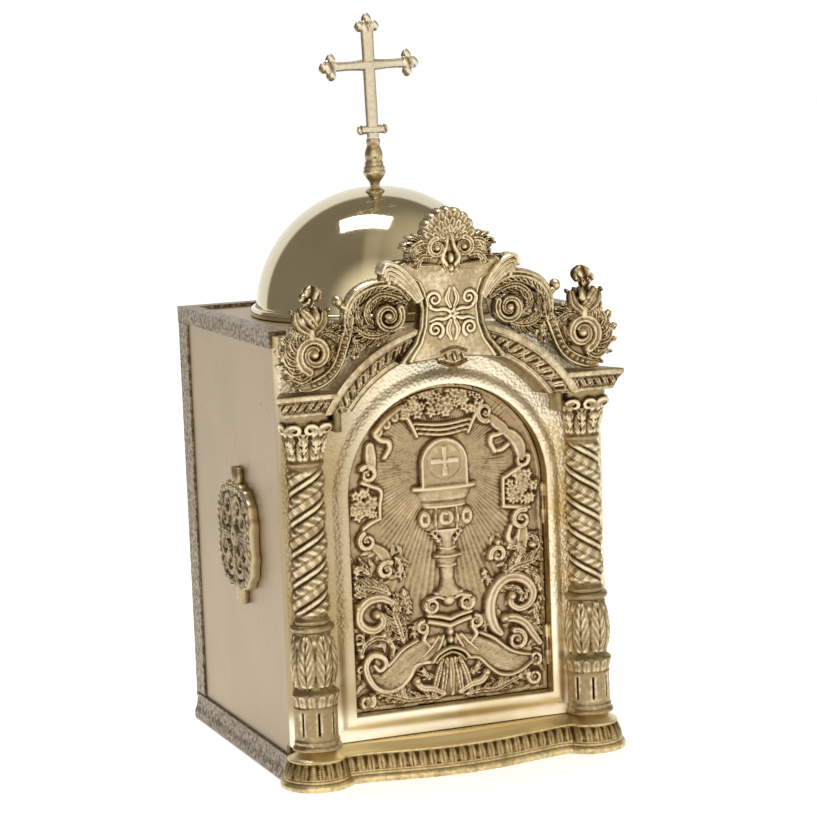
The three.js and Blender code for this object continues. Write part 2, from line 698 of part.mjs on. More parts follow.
// A ring round the hinge pin with the arm that carries it: on the door leaf (side -1) or on the
// jamb (side 1).
function hingeRing(z0, z1, side) {
  const circle = (radius, z) =>
    Array.from({ length: 8 }, (_, i) => {
      const angle = (2 * PI * i) / 8;
      return point(HINGE_X + radius * cos(angle), HINGE_Y + radius * sin(angle), z);
    });
  const bore = HINGE_PIN_RADIUS + HINGE_PLAY;
  const rings = [circle(HINGE_RADIUS, z0), circle(HINGE_RADIUS, z1), circle(bore, z1), circle(bore, z0)];
  const ring = solid(closedSurface(rings, {}, true));
  const drill = turned([[bore, z0 - 1], [bore, z1 + 1]], HINGE_X, HINGE_Y, 8);
  const jamb = DOORWAY_HALF_WIDTH - FIT;
  const arm = side < 0
    ? box(HINGE_X - 1.6, HINGE_X + 1.6, HINGE_Y + 1, DOOR_GROUND + 0.5, z0, z1)
    : box(HINGE_X + 0.6, jamb, HINGE_Y - 1.6, HINGE_Y + 1.6, z0, z1);
  return ring.add(arm.subtract(drill));
}
piece("door_leaf", doorLeaf(), CAST, 0.4, 0.85);
hingeLevels.forEach(([foot, lower, upper, top], i) => {
  const name = ["lower", "upper"][i];
  const jamb = DOORWAY_HALF_WIDTH - FIT;
  const back = box(jamb - 1, jamb, HINGE_Y - 1.6, HINGE_Y + 1.6, foot, top);
  const bracket = join([back, hingeRing(foot, lower, 1), hingeRing(upper, top, 1)]);
  const clear = turned([[HINGE_RADIUS + FIT, lower], [HINGE_RADIUS + FIT, upper]], HINGE_X, HINGE_Y, 8);
  piece(name + "_hinge_bracket", bracket.subtract(clear), CAST, 0.5, 0.85);
  const head = HINGE_PIN_RADIUS + 0.7;
  const pin = turned(
    [[head, foot - 2], [head, foot - FIT], [HINGE_PIN_RADIUS, foot - FIT], [HINGE_PIN_RADIUS, top + 1]],
    HINGE_X, HINGE_Y, 8);
  piece(name + "_hinge_pin", pin, CAST, 0.5, 0.85);
});

// Dome: a thin polished shell, open below, that stands on the roof inside its ring.
const domeFoot = ROOF_TOP + FIT;
function dome() {
  const outer = Array.from({ length: 9 }, (_, i) => {
    const angle = (PI / 2) * ((i + 1) / 9);
    return [DOME_RADIUS * sin(angle), domeFoot + DOME_RADIUS * cos(angle)];
  });
  const hollow = DOME_RADIUS - DOME_SHELL;
  const inner = Array.from({ length: 6 }, (_, i) => {
    const angle = (PI / 2) * ((6 - i) / 6);
    return [hollow * sin(angle), domeFoot + hollow * cos(angle)];
  });
  const poles = [domeFoot + DOME_RADIUS, domeFoot + hollow];
  return turned([...outer, ...inner], 0, DOME_CENTRE_Y, 28, () => 0, poles);
}
piece("dome", dome(), PALE, 0.12, 1);

const ringProfile = [
  [DOME_RADIUS + FIT, domeFoot],
  [DOME_RING_RADIUS - 1, domeFoot],
  [DOME_RING_RADIUS, domeFoot + 2.2],
  [DOME_RING_RADIUS, domeFoot + DOME_RING_HEIGHT * 0.6],
  [DOME_RING_RADIUS - 2.2, domeFoot + DOME_RING_HEIGHT],
  [DOME_RADIUS + FIT, domeFoot + DOME_RING_HEIGHT],
];
const ringStations = Array.from({ length: 28 }, (_, i) => {
  const angle = (2 * PI * i) / 28;
  return (r, z) => point(r * cos(angle), DOME_CENTRE_Y + r * sin(angle), z);
});
piece("dome_ring", sweep(ringProfile, ringStations, true), GOLD, 0.3, 0.95);

// Turned knop on the crown of the dome.
const domeTop = domeFoot + DOME_RADIUS + FIT;
const knop = turned(
  [
    [5, domeTop], [6.4, domeTop + 2], [10.6, domeTop + 4], [11.4, domeTop + 7], [10.6, domeTop + 9.5],
    [7.4, domeTop + 13.5], [7, domeTop + 16], [8.7, domeTop + 23], [8.3, domeTop + 28], [5.8, domeTop + 35],
    [5.4, domeTop + 39], [6.4, domeTop + 41], [6.4, KNOP_TOP],
  ],
  0, DOME_CENTRE_Y, 10);
piece("knop", knop, CAST, 0.35, 0.9);

// Budded cross, a flat casting that stands on the knop and leans a little to the left.
function cross() {
  const back = CROSS_THICKNESS / 2;
  const disc = (x, z, radius) => {
    const turn = (i) => (PI * i) / 4;
    const line = Array.from({ length: 8 }, (_, i) => [radius * cos(turn(i)), radius * sin(turn(i))]);
    const at = (y) => (a, b) => point(x + a, y, z + b);
    return sweep(line, [at(-back), at(back)]);
  };
  const arm = CROSS_ARM_HEIGHT;
  const top = CROSS_HEIGHT;
  const reach = CROSS_SPAN / 2;
  const half = CROSS_BAR / 2;
  const upright = box(-half, half, -back, back, FIT, top - 8);
  const bar = box(-reach + 6, reach - 6, -back, back, arm - 4.2, arm + 4.2);
  const guard = box(-13, 13, -back, back, 5, 11);
  const tips = [-1, 1].flatMap((side) => [
    disc(side * (reach - 5.5), arm, 5.5),
    disc(side * (reach - 12.5), arm + 7.6, 5.6),
    disc(side * (reach - 12.5), arm - 7.6, 5.6),
    disc(side * 7.6, top - 12.5, 5.4),
    disc(side * 12.6, 8, 3),
  ]);
  return join([upright, bar, guard, ...tips, disc(0, top - 5.5, 5.5)]);
}
const crossMesh = piece("cross", cross(), PALE, 0.35, 0.9);
crossMesh.position.set(0, DOME_CENTRE_Y, KNOP_TOP);
crossMesh.rotation.y = -CROSS_LEAN;

// Side medallions: a four-lobed boss with a plain deep edge, held by a lug above and a lug below.
function medallion() {
  const count = 24;
  const ring = (scale, out) =>
    Array.from({ length: count }, (_, i) => {
      const angle = (2 * PI * i) / count;
      const lobed = scale * (0.95 + 0.06 * cos(4 * angle - PI));
      return point(
        HALF + out,
        MEDALLION_Y + (MEDALLION_WIDTH / 2) * lobed * cos(angle),
        MEDALLION_Z + (MEDALLION_WIDTH / 2) * lobed * sin(angle)
      );
    });
  const rings = [ring(0.98, FIT), ring(1, MEDALLION_THICKNESS * 0.75), ring(0.93, MEDALLION_THICKNESS)];
  rings.push(ring(0.5, MEDALLION_THICKNESS));
  const middles = [FIT, MEDALLION_THICKNESS + 1.5].map((out) => point(HALF + out, MEDALLION_Y, MEDALLION_Z));
  const body = solid(closedSurface(rings, { middles }, false));
  const lug = (z0, z1) => box(HALF + FIT, HALF + 7, MEDALLION_Y - 8.5, MEDALLION_Y + 8.5, z0, z1);
  const reach = MEDALLION_HEIGHT / 2;
  const upper = lug(MEDALLION_Z + reach * 0.6, MEDALLION_Z + reach);
  const lower = lug(MEDALLION_Z - reach, MEDALLION_Z - reach * 0.6);
  return join([body, upper, lower]);
}
piece("right_medallion", medallion(), CAST, 0.45, 0.85);
piece("left_medallion", mirrored(medallion()), CAST, 0.45, 0.85);

// The origin goes under the middle of the object.
const finialFront = CREST_FRONT + CREST_THICKNESS / 2 - FINIAL_RADIUS;
const foremost = min(COLUMN_AXIS_Y - FOOT_RADIUS, FOOT_BOW_FRONT, finialFront);
const rearmost = CASE_DEPTH + SKIRT_SPREAD + 1.2;
group.position.set(0, -(foremost + rearmost) / 2, 0);
export default group;
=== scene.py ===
import math

import bpy
import numpy as np
from mathutils import Matrix, Vector


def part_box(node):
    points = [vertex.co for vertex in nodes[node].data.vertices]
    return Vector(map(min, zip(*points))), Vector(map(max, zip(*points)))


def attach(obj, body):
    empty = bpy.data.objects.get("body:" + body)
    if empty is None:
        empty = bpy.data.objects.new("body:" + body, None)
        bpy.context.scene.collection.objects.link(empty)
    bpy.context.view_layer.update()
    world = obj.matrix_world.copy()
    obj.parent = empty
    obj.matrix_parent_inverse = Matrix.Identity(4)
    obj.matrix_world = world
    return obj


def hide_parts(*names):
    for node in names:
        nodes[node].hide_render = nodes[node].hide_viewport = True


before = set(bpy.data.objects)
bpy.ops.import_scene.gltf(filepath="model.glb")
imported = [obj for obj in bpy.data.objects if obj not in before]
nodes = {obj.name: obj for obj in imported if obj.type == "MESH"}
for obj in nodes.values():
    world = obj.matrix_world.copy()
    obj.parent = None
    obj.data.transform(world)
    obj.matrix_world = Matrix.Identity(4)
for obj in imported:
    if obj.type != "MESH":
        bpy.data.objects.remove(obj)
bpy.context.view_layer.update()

# The sizes below are millimetres from the front of the sheet box, as the real piece is measured:
# x to the right, y from front to back, z up. The box front lies where the left wall begins.
CASE_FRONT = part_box("left_wall")[0].y


def in_metres(points):
    """Millimetres from the box front turned into metres of the frame: divided by 1000 and moved in y."""
    placed = np.asarray(points, float) / 1000.0
    placed[..., 1] += CASE_FRONT
    return placed


# Camera: a long lens a little above the middle, turned to the left side of the object and tipped
# slightly, as the photograph was taken.
CAMERA_PLACE = (-933.232, -2357.368, 686.692)
CAMERA_YAW = math.radians(20.997)
CAMERA_PITCH = math.radians(7.996)
CAMERA_ROLL = math.radians(-2.25)

ahead = Vector((
    math.sin(CAMERA_YAW) * math.cos(CAMERA_PITCH),
    math.cos(CAMERA_YAW) * math.cos(CAMERA_PITCH),
    -math.sin(CAMERA_PITCH),
))
level_right = Vector((math.cos(CAMERA_YAW), -math.sin(CAMERA_YAW), 0))
level_up = level_right.cross(ahead)
right = level_right * math.cos(CAMERA_ROLL) + level_up * math.sin(CAMERA_ROLL)
up = level_up * math.cos(CAMERA_ROLL) - level_right * math.sin(CAMERA_ROLL)
turn = Matrix((right, up, -ahead)).transposed()
lens = bpy.data.cameras.new("photo_camera")
lens.sensor_width = 36
lens.lens = 124.08
lens.clip_start = 0.05
lens.clip_end = 60
camera = bpy.data.objects.new("photo_camera", lens)
bpy.context.scene.collection.objects.link(camera)
camera.matrix_world = Matrix.Translation(Vector(in_metres(CAMERA_PLACE))) @ turn.to_4x4()
bpy.context.scene.camera = camera


# Sheet box: thin lacquered brass, soldered at the edges. This first section also defines how a
# finish is mixed, since every later piece uses it.
class Field:
    """One shader socket that takes Python's operators; each operator adds a Math node."""

    def __init__(self, tree, socket):
        self.tree = tree
        self.socket = socket

    def node(self, kind, settings=None, values=None, output=0):
        """Adds a node of a kind: its settings first, then its sockets from numbers or links."""
        made = self.tree.nodes.new(kind)
        for name, value in (settings or {}).items():
            setattr(made, name, value)
        for name, value in (values or {}).items():
            if isinstance(value, Field):
                self.tree.links.new(value.socket, made.inputs[name])
            else:
                made.inputs[name].default_value = value
        return Field(self.tree, made.outputs[output])

    def math(self, operation, first, second=0.0):
        """One Math node on one or two values."""
        return self.node("ShaderNodeMath", {"operation": operation}, {0: first, 1: second})

    def __add__(self, other):
        return self.math("ADD", self, other)

    def __radd__(self, other):
        return self.math("ADD", other, self)

    def __sub__(self, other):
        return self.math("SUBTRACT", self, other)

    def __rsub__(self, other):
        return self.math("SUBTRACT", other, self)

    def __mul__(self, other):
        return self.math("MULTIPLY", self, other)

    def __rmul__(self, other):
        return self.math("MULTIPLY", other, self)

    def step(self, low, high):
        """0 below low, 1 above high, and a smooth rise between them."""
        return self.node(
            "ShaderNodeMapRange",
            {"interpolation_type": "SMOOTHSTEP"},
            {"Value": self, "From Min": low, "From Max": high},
        )

    def mix(self, low, high):
        """A colour between two colours, by this value."""
        return self.node(
            "ShaderNodeMix", {"data_type": "RGBA"}, {0: self, 6: low, 7: high}, output=2
        )


def finish_tree(name):
    """A new material with an empty shader, and the Object coordinates that its patterns read."""
    material = bpy.data.materials.new(name)
    material.use_nodes = True
    tree = material.node_tree
    shader = tree.nodes["Principled BSDF"]
    place = Field(tree, tree.nodes.new("ShaderNodeTexCoord").outputs["Object"])
    return material, tree, shader, place


def noise(place, scale, detail=4.0):
    """Cloudy noise from 0 to 1, with scale in patches a metre."""
    values = {"Vector": place, "Scale": scale, "Detail": detail, "Roughness": 0.55}
    return place.node("ShaderNodeTexNoise", {}, values)


def set_metal(tree, shader, colour, roughness, height, depth):
    """Links colour, roughness and a bump of a depth in metres into a bare metal shader."""
    bump = height.node("ShaderNodeBump", {}, {"Height": height, "Distance": depth, "Strength": 1.0})
    tree.links.new(colour.socket, shader.inputs["Base Color"])
    tree.links.new(roughness.socket, shader.inputs["Roughness"])
    tree.links.new(bump.socket, shader.inputs["Normal"])
    shader.inputs["Metallic"].default_value = 1.0


def sheet_brass():
    """Pale satin sheet: faint clouds of tarnish, brushed lines and a few dull spots."""
    material, tree, shader, place = finish_tree("sheet_brass")
    clouds = noise(place, 9.0, 3.0)
    lines = noise(place.node("ShaderNodeMapping", {}, {"Vector": place, "Scale": (40.0, 40.0, 900.0)}), 1.0)
    spots = noise(place, 130.0, 2.0).step(0.66, 0.78)
    colour = clouds.step(0.3, 0.7).mix((0.43, 0.35, 0.245, 1), (0.50, 0.41, 0.29, 1))
    colour = (spots * 0.35).mix(colour, (0.30, 0.21, 0.11, 1))
    set_metal(tree, shader, colour, 0.42 + clouds * 0.12 + spots * 0.1, lines * 0.6 + clouds, 0.00012)
    return material


def dress(node, material):
    """Gives a CAD node, whose shape is right, its finish."""
    slots = nodes[node].data.materials
    slots.clear()
    slots.append(material)


sheet = sheet_brass()
for panel in ("floor_panel", "left_wall", "right_wall", "back_wall", "roof_panel"):
    dress(panel, sheet)


# Edge strips: thin brass strip embossed with a running leaf, bent over the roof edge and the back
# corners, and left to go brown.
def embossed_brass():
    """Dull brown strip: beads and leaves pressed into it, darker in the hollows of the pattern."""
    material, tree, shader, place = finish_tree("embossed_brass")
    cells = place.node("ShaderNodeTexVoronoi", {"feature": "SMOOTH_F1"}, {"Vector": place, "Scale": 300.0})
    fine = noise(place, 420.0, 3.0)
    relief = 1.0 - cells * 1.1 + fine * 0.4
    colour = relief.step(0.4, 1.0).mix((0.12, 0.09, 0.06, 1), (0.38, 0.315, 0.23, 1))
    set_metal(tree, shader, colour, 0.55 - relief * 0.15, relief, 0.0006)
    return material


embossed = embossed_brass()
for strip in ("top_trim", "left_corner_strip", "right_corner_strip", "skirting"):
    dress(strip, embossed)


# Door leaf: one heavy casting, an arched plate with the chalice, host, crown, horns, scrolls and
# ribbon frame raised on it, chased and browned, with painted shade in its hollows. It hangs on the right.
DOOR_GROUND = -6.5
DOOR_BACK = -2.5
DOOR_HALF = 96.0
DOOR_SILL = 59.3
DOOR_SPRING = 257.0
DOOR_COLUMNS = 232
DOOR_ROWS = 372
DOOR_RELIEF = 9.2
RAY_CENTRE = 279
HOST_FOOT = 257
HOST_CENTRE = 281
HOST_RADIUS = 24.3
HOST_CROSS = 283
CHALICE_FOOT = 158
CHALICE_RIM = 261.3


def ramp(value, start=0.0, span=1.0):
    """0 before start, 1 a span beyond it, and a straight rise between them."""
    return np.clip((value - start) / span, 0, 1)


def peak(distance, width):
    """A bell, exp(-(distance / width) squared): 1 in its middle and near 0 two widths away."""
    return np.exp(-((distance / width) ** 2))


def bulge(distance):
    """The round section of a moulding, sqrt(1 - distance squared), and 0 beyond a distance of 1."""
    return np.sqrt(ramp(1 - distance**2))


def wave(turns):
    """A cosine from 0 to 1, with one crest to a turn."""
    return 0.5 + 0.5 * np.cos(2 * math.pi * turns)


def smooth_line(marks, steps=6):
    """A Catmull-Rom curve through [x, z, half width] marks, with some steps between two marks."""
    marks = np.asarray(marks, float)
    ends = np.vstack([2 * marks[0] - marks[1], marks, 2 * marks[-1] - marks[-2]])
    t = np.linspace(0, 1, steps, endpoint=False)[:, None]
    parts = []
    for a, b, c, d in zip(ends[:-3], ends[1:-2], ends[2:-1], ends[3:]):
        parts.append(0.5 * (2 * b + (c - a) * t + (2 * a - 5 * b + 4 * c - d) * t**2
                            + (3 * b - 3 * c + d - a) * t**3))
    line = np.vstack([*parts, marks[-1:]])
    line[:, 2] = np.maximum(line[:, 2], 0.3)
    return line


def spiral(x, z, start, turns, radius, end_radius, half, end_half):
    """A volute round a centre: angle runs on by some turns while radius and width shrink evenly."""
    t = np.linspace(0, 1, max(8, int(abs(turns) * 18)))
    angle = start + turns * 2 * math.pi * t
    reach = radius + (end_radius - radius) * t
    return np.stack([x + reach * np.cos(angle), z + reach * np.sin(angle), half + (end_half - half) * t], 1)


def press(height, x, z, line, rise, groove=0.0, dish=0.0):
    """Raises a moulding along a line: rise times the round section sqrt(1 - d squared), where d is
    the distance over the half width, less a groove along its middle or a dish between its edges."""
    low, high = (line - line[:, 2:]).min(axis=0), (line + line[:, 2:]).max(axis=0)
    near = (x > low[0]) & (x < high[0]) & (z > low[1]) & (z < high[1])
    px, pz = x[near], z[near]
    d, half = np.full(px.shape, 9.0), np.ones(px.shape)
    for (x0, z0, w0), (x1, z1, w1) in zip(line[:-1], line[1:]):
        dx, dz = x1 - x0, z1 - z0
        t = ramp(((px - x0) * dx + (pz - z0) * dz) / max(dx * dx + dz * dz, 1e-9))
        wide = w0 + (w1 - w0) * t
        off = np.hypot(px - x0 - t * dx, pz - z0 - t * dz) / wide
        closer = off < d
        d, half = np.where(closer, off, d), np.where(closer, wide, half)
    form = bulge(d) * (1 - groove * peak(d, 0.25) - dish * np.exp(-((d / 0.55) ** 4)))
    height[near] = np.maximum(height[near], rise * (0.35 + 0.65 * half / line[:, 2].max()) * form)


def press_leaf(height, x, z, line, rise, lobes, spread=1.6, sides=(1, -1)):
    """Raises an acanthus leaf: a grooved stem, and lobes that leave it forward on its two sides,
    each spread half widths long."""
    press(height, x, z, line * [1, 1, 0.62], rise, groove=0.35)
    along = np.linspace(0.04, 0.9, lobes + 1)
    for share in along:
        at = share * (len(line) - 1)
        k = min(int(at), len(line) - 2)
        foot = line[k] + (line[k + 1] - line[k]) * (at - k)
        way = line[k + 1, :2] - line[k, :2]
        way = way / max(np.hypot(*way), 1e-9)
        for side in sides:
            across = np.array([-way[1], way[0]]) * side
            reach = foot[2] * (spread + 0.35)
            mid = foot[:2] + way * reach * 0.4 + across * reach * 0.5
            tip = foot[:2] + way * reach * 1.1 + across * reach * 0.85
            lobe = [[*foot[:2], foot[2] * 0.4], [*mid, foot[2] * 0.46], [*tip, foot[2] * 0.26]]
            press(height, x, z, smooth_line(lobe, 3), rise * 0.9, groove=0.45)


def press_dome(height, x, z, cx, cz, wide, tall, rise, rim=0.0):
    """Raises an oval boss; rim lowers its middle, so that a ring is left."""
    d = np.hypot((x - cx) / wide, (z - cz) / tall)
    form = bulge(d) * (1 - rim * peak(d, 0.5))
    np.maximum(height, rise * form, out=height)


def press_flowers(height, x, z, inside, count, radius, rise, seed):
    """Raises small five-petalled flowers at scattered places: inside gives their box."""
    pick = np.random.default_rng(seed)
    for _ in range(count):
        cx = pick.uniform(inside[0], inside[1])
        cz = pick.uniform(inside[2], inside[3])
        size = radius * pick.uniform(0.75, 1.15)
        dx, dz = x - cx, z - cz
        d = np.hypot(dx, dz) / size
        petals = 0.82 + 0.18 * np.cos(5 * np.arctan2(dz, dx) + pick.uniform(0, 6))
        form = bulge(d / petals) * (1 - 0.5 * peak(d, 0.3))
        np.maximum(height, rise * pick.uniform(0.75, 1) * form, out=height)


def pens(h, x, z, sides=(1,)):
    """Three pens that draw on one relief, on one side of its middle or mirrored on both: a moulding
    and a leaf along marks of [x, z, half width], and an oval boss."""
    def placed(marks, side):
        return smooth_line([[side * a, b, c] for a, b, c in marks])

    def draw(marks, rise, groove=0.0, dish=0.0):
        for side in sides:
            press(h, x, z, placed(marks, side), rise, groove, dish)

    def leaf(marks, rise, lobes, spread=1.3, edges=(1, -1)):
        for side in sides:
            press_leaf(h, x, z, placed(marks, side), rise, lobes, spread, edges)

    def boss(cx, cz, wide, tall, rise, rim=0.0):
        for side in sides:
            press_dome(h, x, z, side * cx, cz, wide, tall, rise, rim)

    return draw, leaf, boss


def chalice_half(z):
    """Half width of the chalice at a height, read off its turned outline."""
    outline = np.array([
        [158, 13], [161, 14.5], [164, 11], [168, 8], [174, 6.2], [184, 7], [189, 8.5], [194, 12],
        [198, 12.5], [201, 8], [207, 6.2], [213, 7], [217, 12], [222, 24], [231, 26], [238, 25], [240, 20.5],
        [248, 23], [255, 26], [256.5, 31.5], [261, 32],
    ])
    return np.interp(z, outline[:, 0], outline[:, 1])


def door_relief(x, z):
    """Height of the carving over the ground of the door, the highest of all its raised forms."""
    h = np.zeros_like(x)
    draw, leaf, boss = pens(h, x, z)

    def volute(cx, cz, start, turns, radius, half, rise):
        press(h, x, z, spiral(cx, cz, start, turns, radius, radius * 0.3, half, half * 0.5), rise, 0.2)
        boss(cx, cz, radius * 0.26, radius * 0.26, rise)

    # Rays from the host over the ground, and a pebbled ground outside them.
    angle = np.arctan2(z - RAY_CENTRE, x)
    reach = np.hypot(x, z - RAY_CENTRE)
    rays = 0.5 + 0.55 * np.cos(angle * 118) + 0.35 * np.cos(angle * 26 + 1)
    field = ramp(np.abs(x), 64, -3) * ramp(z, 150, 8) * ramp(z, 334, -6)
    pebbles = 0.5 + 0.5 * np.cos(x * 2.3 + np.sin(z * 1.1)) * np.cos(z * 2.1 + np.sin(x * 0.9))
    h += 0.75 * np.clip(rays, 0, 2) * field * ramp(reach, 24, 18) + 0.3 * pebbles * (1 - field)
    # Small low leaves that fill the ground among the scrolls.
    pick = np.random.default_rng(5)
    for _ in range(90):
        cx, cz = pick.uniform(42, 92), pick.uniform(62, 205)
        heading = pick.uniform(0, 2 * math.pi)
        size = pick.uniform(3.5, 6)
        for side in (1, -1):
            draw([[side * (cx - size * math.cos(heading)), cz - size * math.sin(heading), 1.6],
                  [side * (cx + 1), cz + 1, 2.6],
                  [side * (cx + size * math.cos(heading + 0.5)), cz + size * math.sin(heading + 0.5), 1.0]],
                 3.0, groove=0.3)
    # Ribbon frame round the rays: right side, then left side.
    volute(42, 324, -1.3, -1.15, 8.5, 3.4, 7)
    draw([[48, 318, 4.5], [54, 312, 6], [60, 307.5, 5], [62, 304, 3.5]], 6.5, dish=0.3)
    draw([[62, 304, 2.6], [54, 302, 3], [48, 301, 3.4], [47, 295, 3.2], [51, 287, 3]], 5)
    draw([[51, 287, 2.4], [58, 288, 3], [64, 292, 3]], 4.5)
    draw([[62, 304, 4.5], [70, 298, 6.5], [75, 290, 7], [77, 281, 5]], 7.2, dish=0.3)
    volute(77, 277, 0.5, -1.0, 7, 3, 6.5)
    draw([[82, 273, 2.6], [71, 268, 2.6], [60, 262, 2.6]], 5)
    draw([[58, 262, 2.2], [57.5, 248, 2.2], [57.5, 235, 2.2]], 4.8)
    draw([[57.5, 235, 2.6], [70, 233.5, 3], [83, 232, 2.8]], 5.4)
    volute(75, 221.5, 1.2, 1.3, 9.5, 3.6, 7)
    draw([[76, 212, 5.5], [75, 204, 7], [74, 196, 6]], 6.4, dish=0.4)
    draw([[64, 216, 3], [61, 206, 3.6], [66, 198, 3.4]], 5)
    draw([[-42, 334, 3], [-54, 326, 3.4], [-66, 314, 3.4]], 6.4)
    for cx, cz in ((-46, 327), (-54, 321), (-62, 315)):
        boss(cx, cz, 5, 5.8, 6.8, 0.55)
    draw([[-66, 312, 3], [-60, 307, 3.4], [-53, 305, 3.6], [-52, 299, 3.4], [-57, 291, 3]], 5.4)
    draw([[-71, 302, 5], [-71, 293, 6.5], [-70, 284, 5]], 7.4, dish=0.25)
    volute(-74, 277, 2.4, -1.15, 8.5, 3.4, 6.6)
    draw([[-80, 270, 2.6], [-71, 266, 2.6], [-62, 261, 2.6], [-63.5, 248, 2.4], [-64, 236, 2.4]], 5)
    draw([[-64, 236, 2.8], [-72, 233, 3], [-80, 228, 2.6]], 5.2)
    volute(-77, 216, 2.0, 1.2, 8.5, 3.4, 6.6)
    draw([[-70, 210, 4], [-62, 203, 6], [-58, 194, 5]], 6, dish=0.3)
    press_flowers(h, x, z, (-91, -69, 239, 261), 22, 6.2, 6.4, 2)
    press_flowers(h, x, z, (62, 91, 239, 265), 26, 6.2, 6.4, 4)
    # Crown: a banded ring with a mass of flowers above it.
    press_flowers(h, x, z, (-38, 36, 326, 350), 60, 6.6, 7.4, 11)
    for low, half in ((308.5, 23), (313, 25), (317.5, 27)):
        draw([[-half, low + 1.4, 1.9], [0, low - 1.4, 2.2], [half, low + 1.4, 1.9]], 5.2)
    for side in (1, -1):
        draw([[side * 25, 307, 2], [side * 31, 320, 2.6], [side * 40, 335, 2.4]], 5.4)
    # Host: a round-topped disc with a plain raised cross in a thin ring.
    over = np.where(z > HOST_CENTRE, np.hypot(x, z - HOST_CENTRE), np.abs(x))
    disc = ramp(over, HOST_RADIUS, -1.6) * (z > HOST_FOOT)
    h[:] = np.maximum(h, disc * (4.4 + 0.8 * bulge(over / HOST_RADIUS)))
    h += 1.2 * peak(over - 21.6, 1.2) * (z > HOST_FOOT) * (z < 308)
    centred = np.hypot(x, z - HOST_CROSS)
    h += 1.3 * ((centred < 13.5) & (np.minimum(np.abs(x), np.abs(z - HOST_CROSS)) < 1.4 + centred * 0.1))
    h -= 0.7 * peak(centred - 16.5, 0.7) * (over < 20)
    # Chalice: a turned form in half relief, with bosses round the bowl and a knop on the stem.
    half = chalice_half(z)
    body = 6.4 * bulge(x / half) * ((z > CHALICE_FOOT) & (z < CHALICE_RIM))
    body = body * np.where((z > 220) & (z < 240), 0.62, 1)
    ribs = 1.6 * peak(z - 258.5, 1.8) - 1.5 * peak(z - 246, 1.1)
    ribs = ribs + 0.9 * peak(z - 241.5, 1.2)
    h[:] = np.maximum(h, body + ribs * (body > 0.5))
    for cx, wide in ((-20.5, 6.6), (0, 9), (20.5, 6.6)):
        boss(cx, 230.5, wide, 9.2, 8.8 - 0.05 * abs(cx), 0.62)
        boss(cx, 234.3, wide * 0.34, 2.8, 7.4 - 0.05 * abs(cx))
        boss(cx, 226.5, wide * 0.34, 2.8, 7.4 - 0.05 * abs(cx))
    for side in (1, -1):
        draw([[side * 10, 221, 1.5], [side * 11, 230, 1.9], [side * 10, 239, 1.5]], 7)
        leaf([[side * 5, 205, 2], [side * 9, 211, 2.6], [side * 15, 218, 1.8]], 6.4, 3, 1.0)
    for low, wide, rise in ((161, 15, 5.5), (187, 9, 7), (196, 13.5, 8.6), (203, 9, 7)):
        draw([[-wide + 2, low, 2.2], [0, low - 1, 2.6], [wide - 2, low, 2.2]], rise)
    # Bracket under the foot: two volutes and a boss, a stepped platform seen corner on, and a pendant.
    for side in (1, -1):
        volute(side * 17, 150.5, 1.57 - side * 1.2, -side * 1.5, 7, 2.8, 7.6)
        draw([[side * 6, 156, 2.4], [side * 12, 158, 2.6], [side * 21, 156, 2.4]], 6.4)
        draw([[side * 21, 141.5, 2.6], [side * 10, 139.5, 2.8], [0, 136.5, 3]], 7)
        draw([[side * 20, 135.5, 3], [side * 10, 133, 3.2], [0, 130, 3.4]], 6.4)
        volute(side * 26, 131, 1.57, side * -1.4, 6, 2.6, 6.6)
        draw([[side * 22, 127, 2.4], [side * 26, 120, 3], [side * 21, 113, 2.4]], 5.8)
        leaf([[side * 30, 136, 2.4], [side * 36, 130, 3.4], [side * 34, 120, 2.4]], 5.6, 3, 1.1)
    boss(0, 154.5, 6.5, 6.5, 8.4)
    boss(0, 125, 4, 5, 7.4)
    boss(0, 117, 3.4, 4.8, 7)
    # Horns: two broad dished bands, stippled between raised rims, that fall from the bracket.
    pits = np.cos(2 * math.pi * (x + z) / 3.4) * np.cos(2 * math.pi * (x - z) / 3.8)
    for horn in (
        [[10, 114, 8], [26, 107, 11], [42, 98, 12.5], [56, 90, 11.5], [68, 87.5, 8.5], [78, 89, 5]],
        [[-10, 114, 8], [-28, 108, 12], [-44, 99, 13], [-56, 88, 12], [-66, 84, 8.5], [-76, 89, 5]],
    ):
        band = np.zeros_like(x)
        press(band, x, z, smooth_line(horn), 6.4, dish=0.42)
        h[:] = np.maximum(h, band + 0.55 * pits * (band > 2.4) * (band < 5.6))
    for lean in (-16, -9, 9, 16):
        draw([[lean * 0.7, 121, 1.6], [lean * 1.1, 113, 2.2], [lean * 1.7, 104, 1.8]], 5.2)
    draw([[30, 120, 2.2], [43, 113, 2.6], [56, 102, 2.6], [68, 96.5, 2.4], [79, 94, 2]], 7.8)
    draw([[17, 98.5, 2.4], [27, 97, 2.4], [36, 88, 2.6], [46, 80, 2.6], [58, 77.5, 2.6], [70, 81, 2.4],
          [80, 87, 2]], 7.8)
    volute(84, 90, -1.8, 1.2, 6, 2.6, 7.4)
    draw([[-33, 120, 2.2], [-47, 114, 2.6], [-57, 105, 2.6], [-62, 100, 2.2]], 7.8)
    draw([[-17, 98.5, 2.4], [-34, 97, 2.4], [-41, 87, 2.6], [-50, 79, 2.6], [-62, 75.5, 3], [-74, 80, 3.6],
          [-82, 91, 4.2], [-84, 103, 4.2], [-77, 111, 4], [-67, 108, 3.6], [-64, 101, 3], [-70, 96, 2.6],
          [-75, 101, 2.2]], 8.4, groove=0.15)
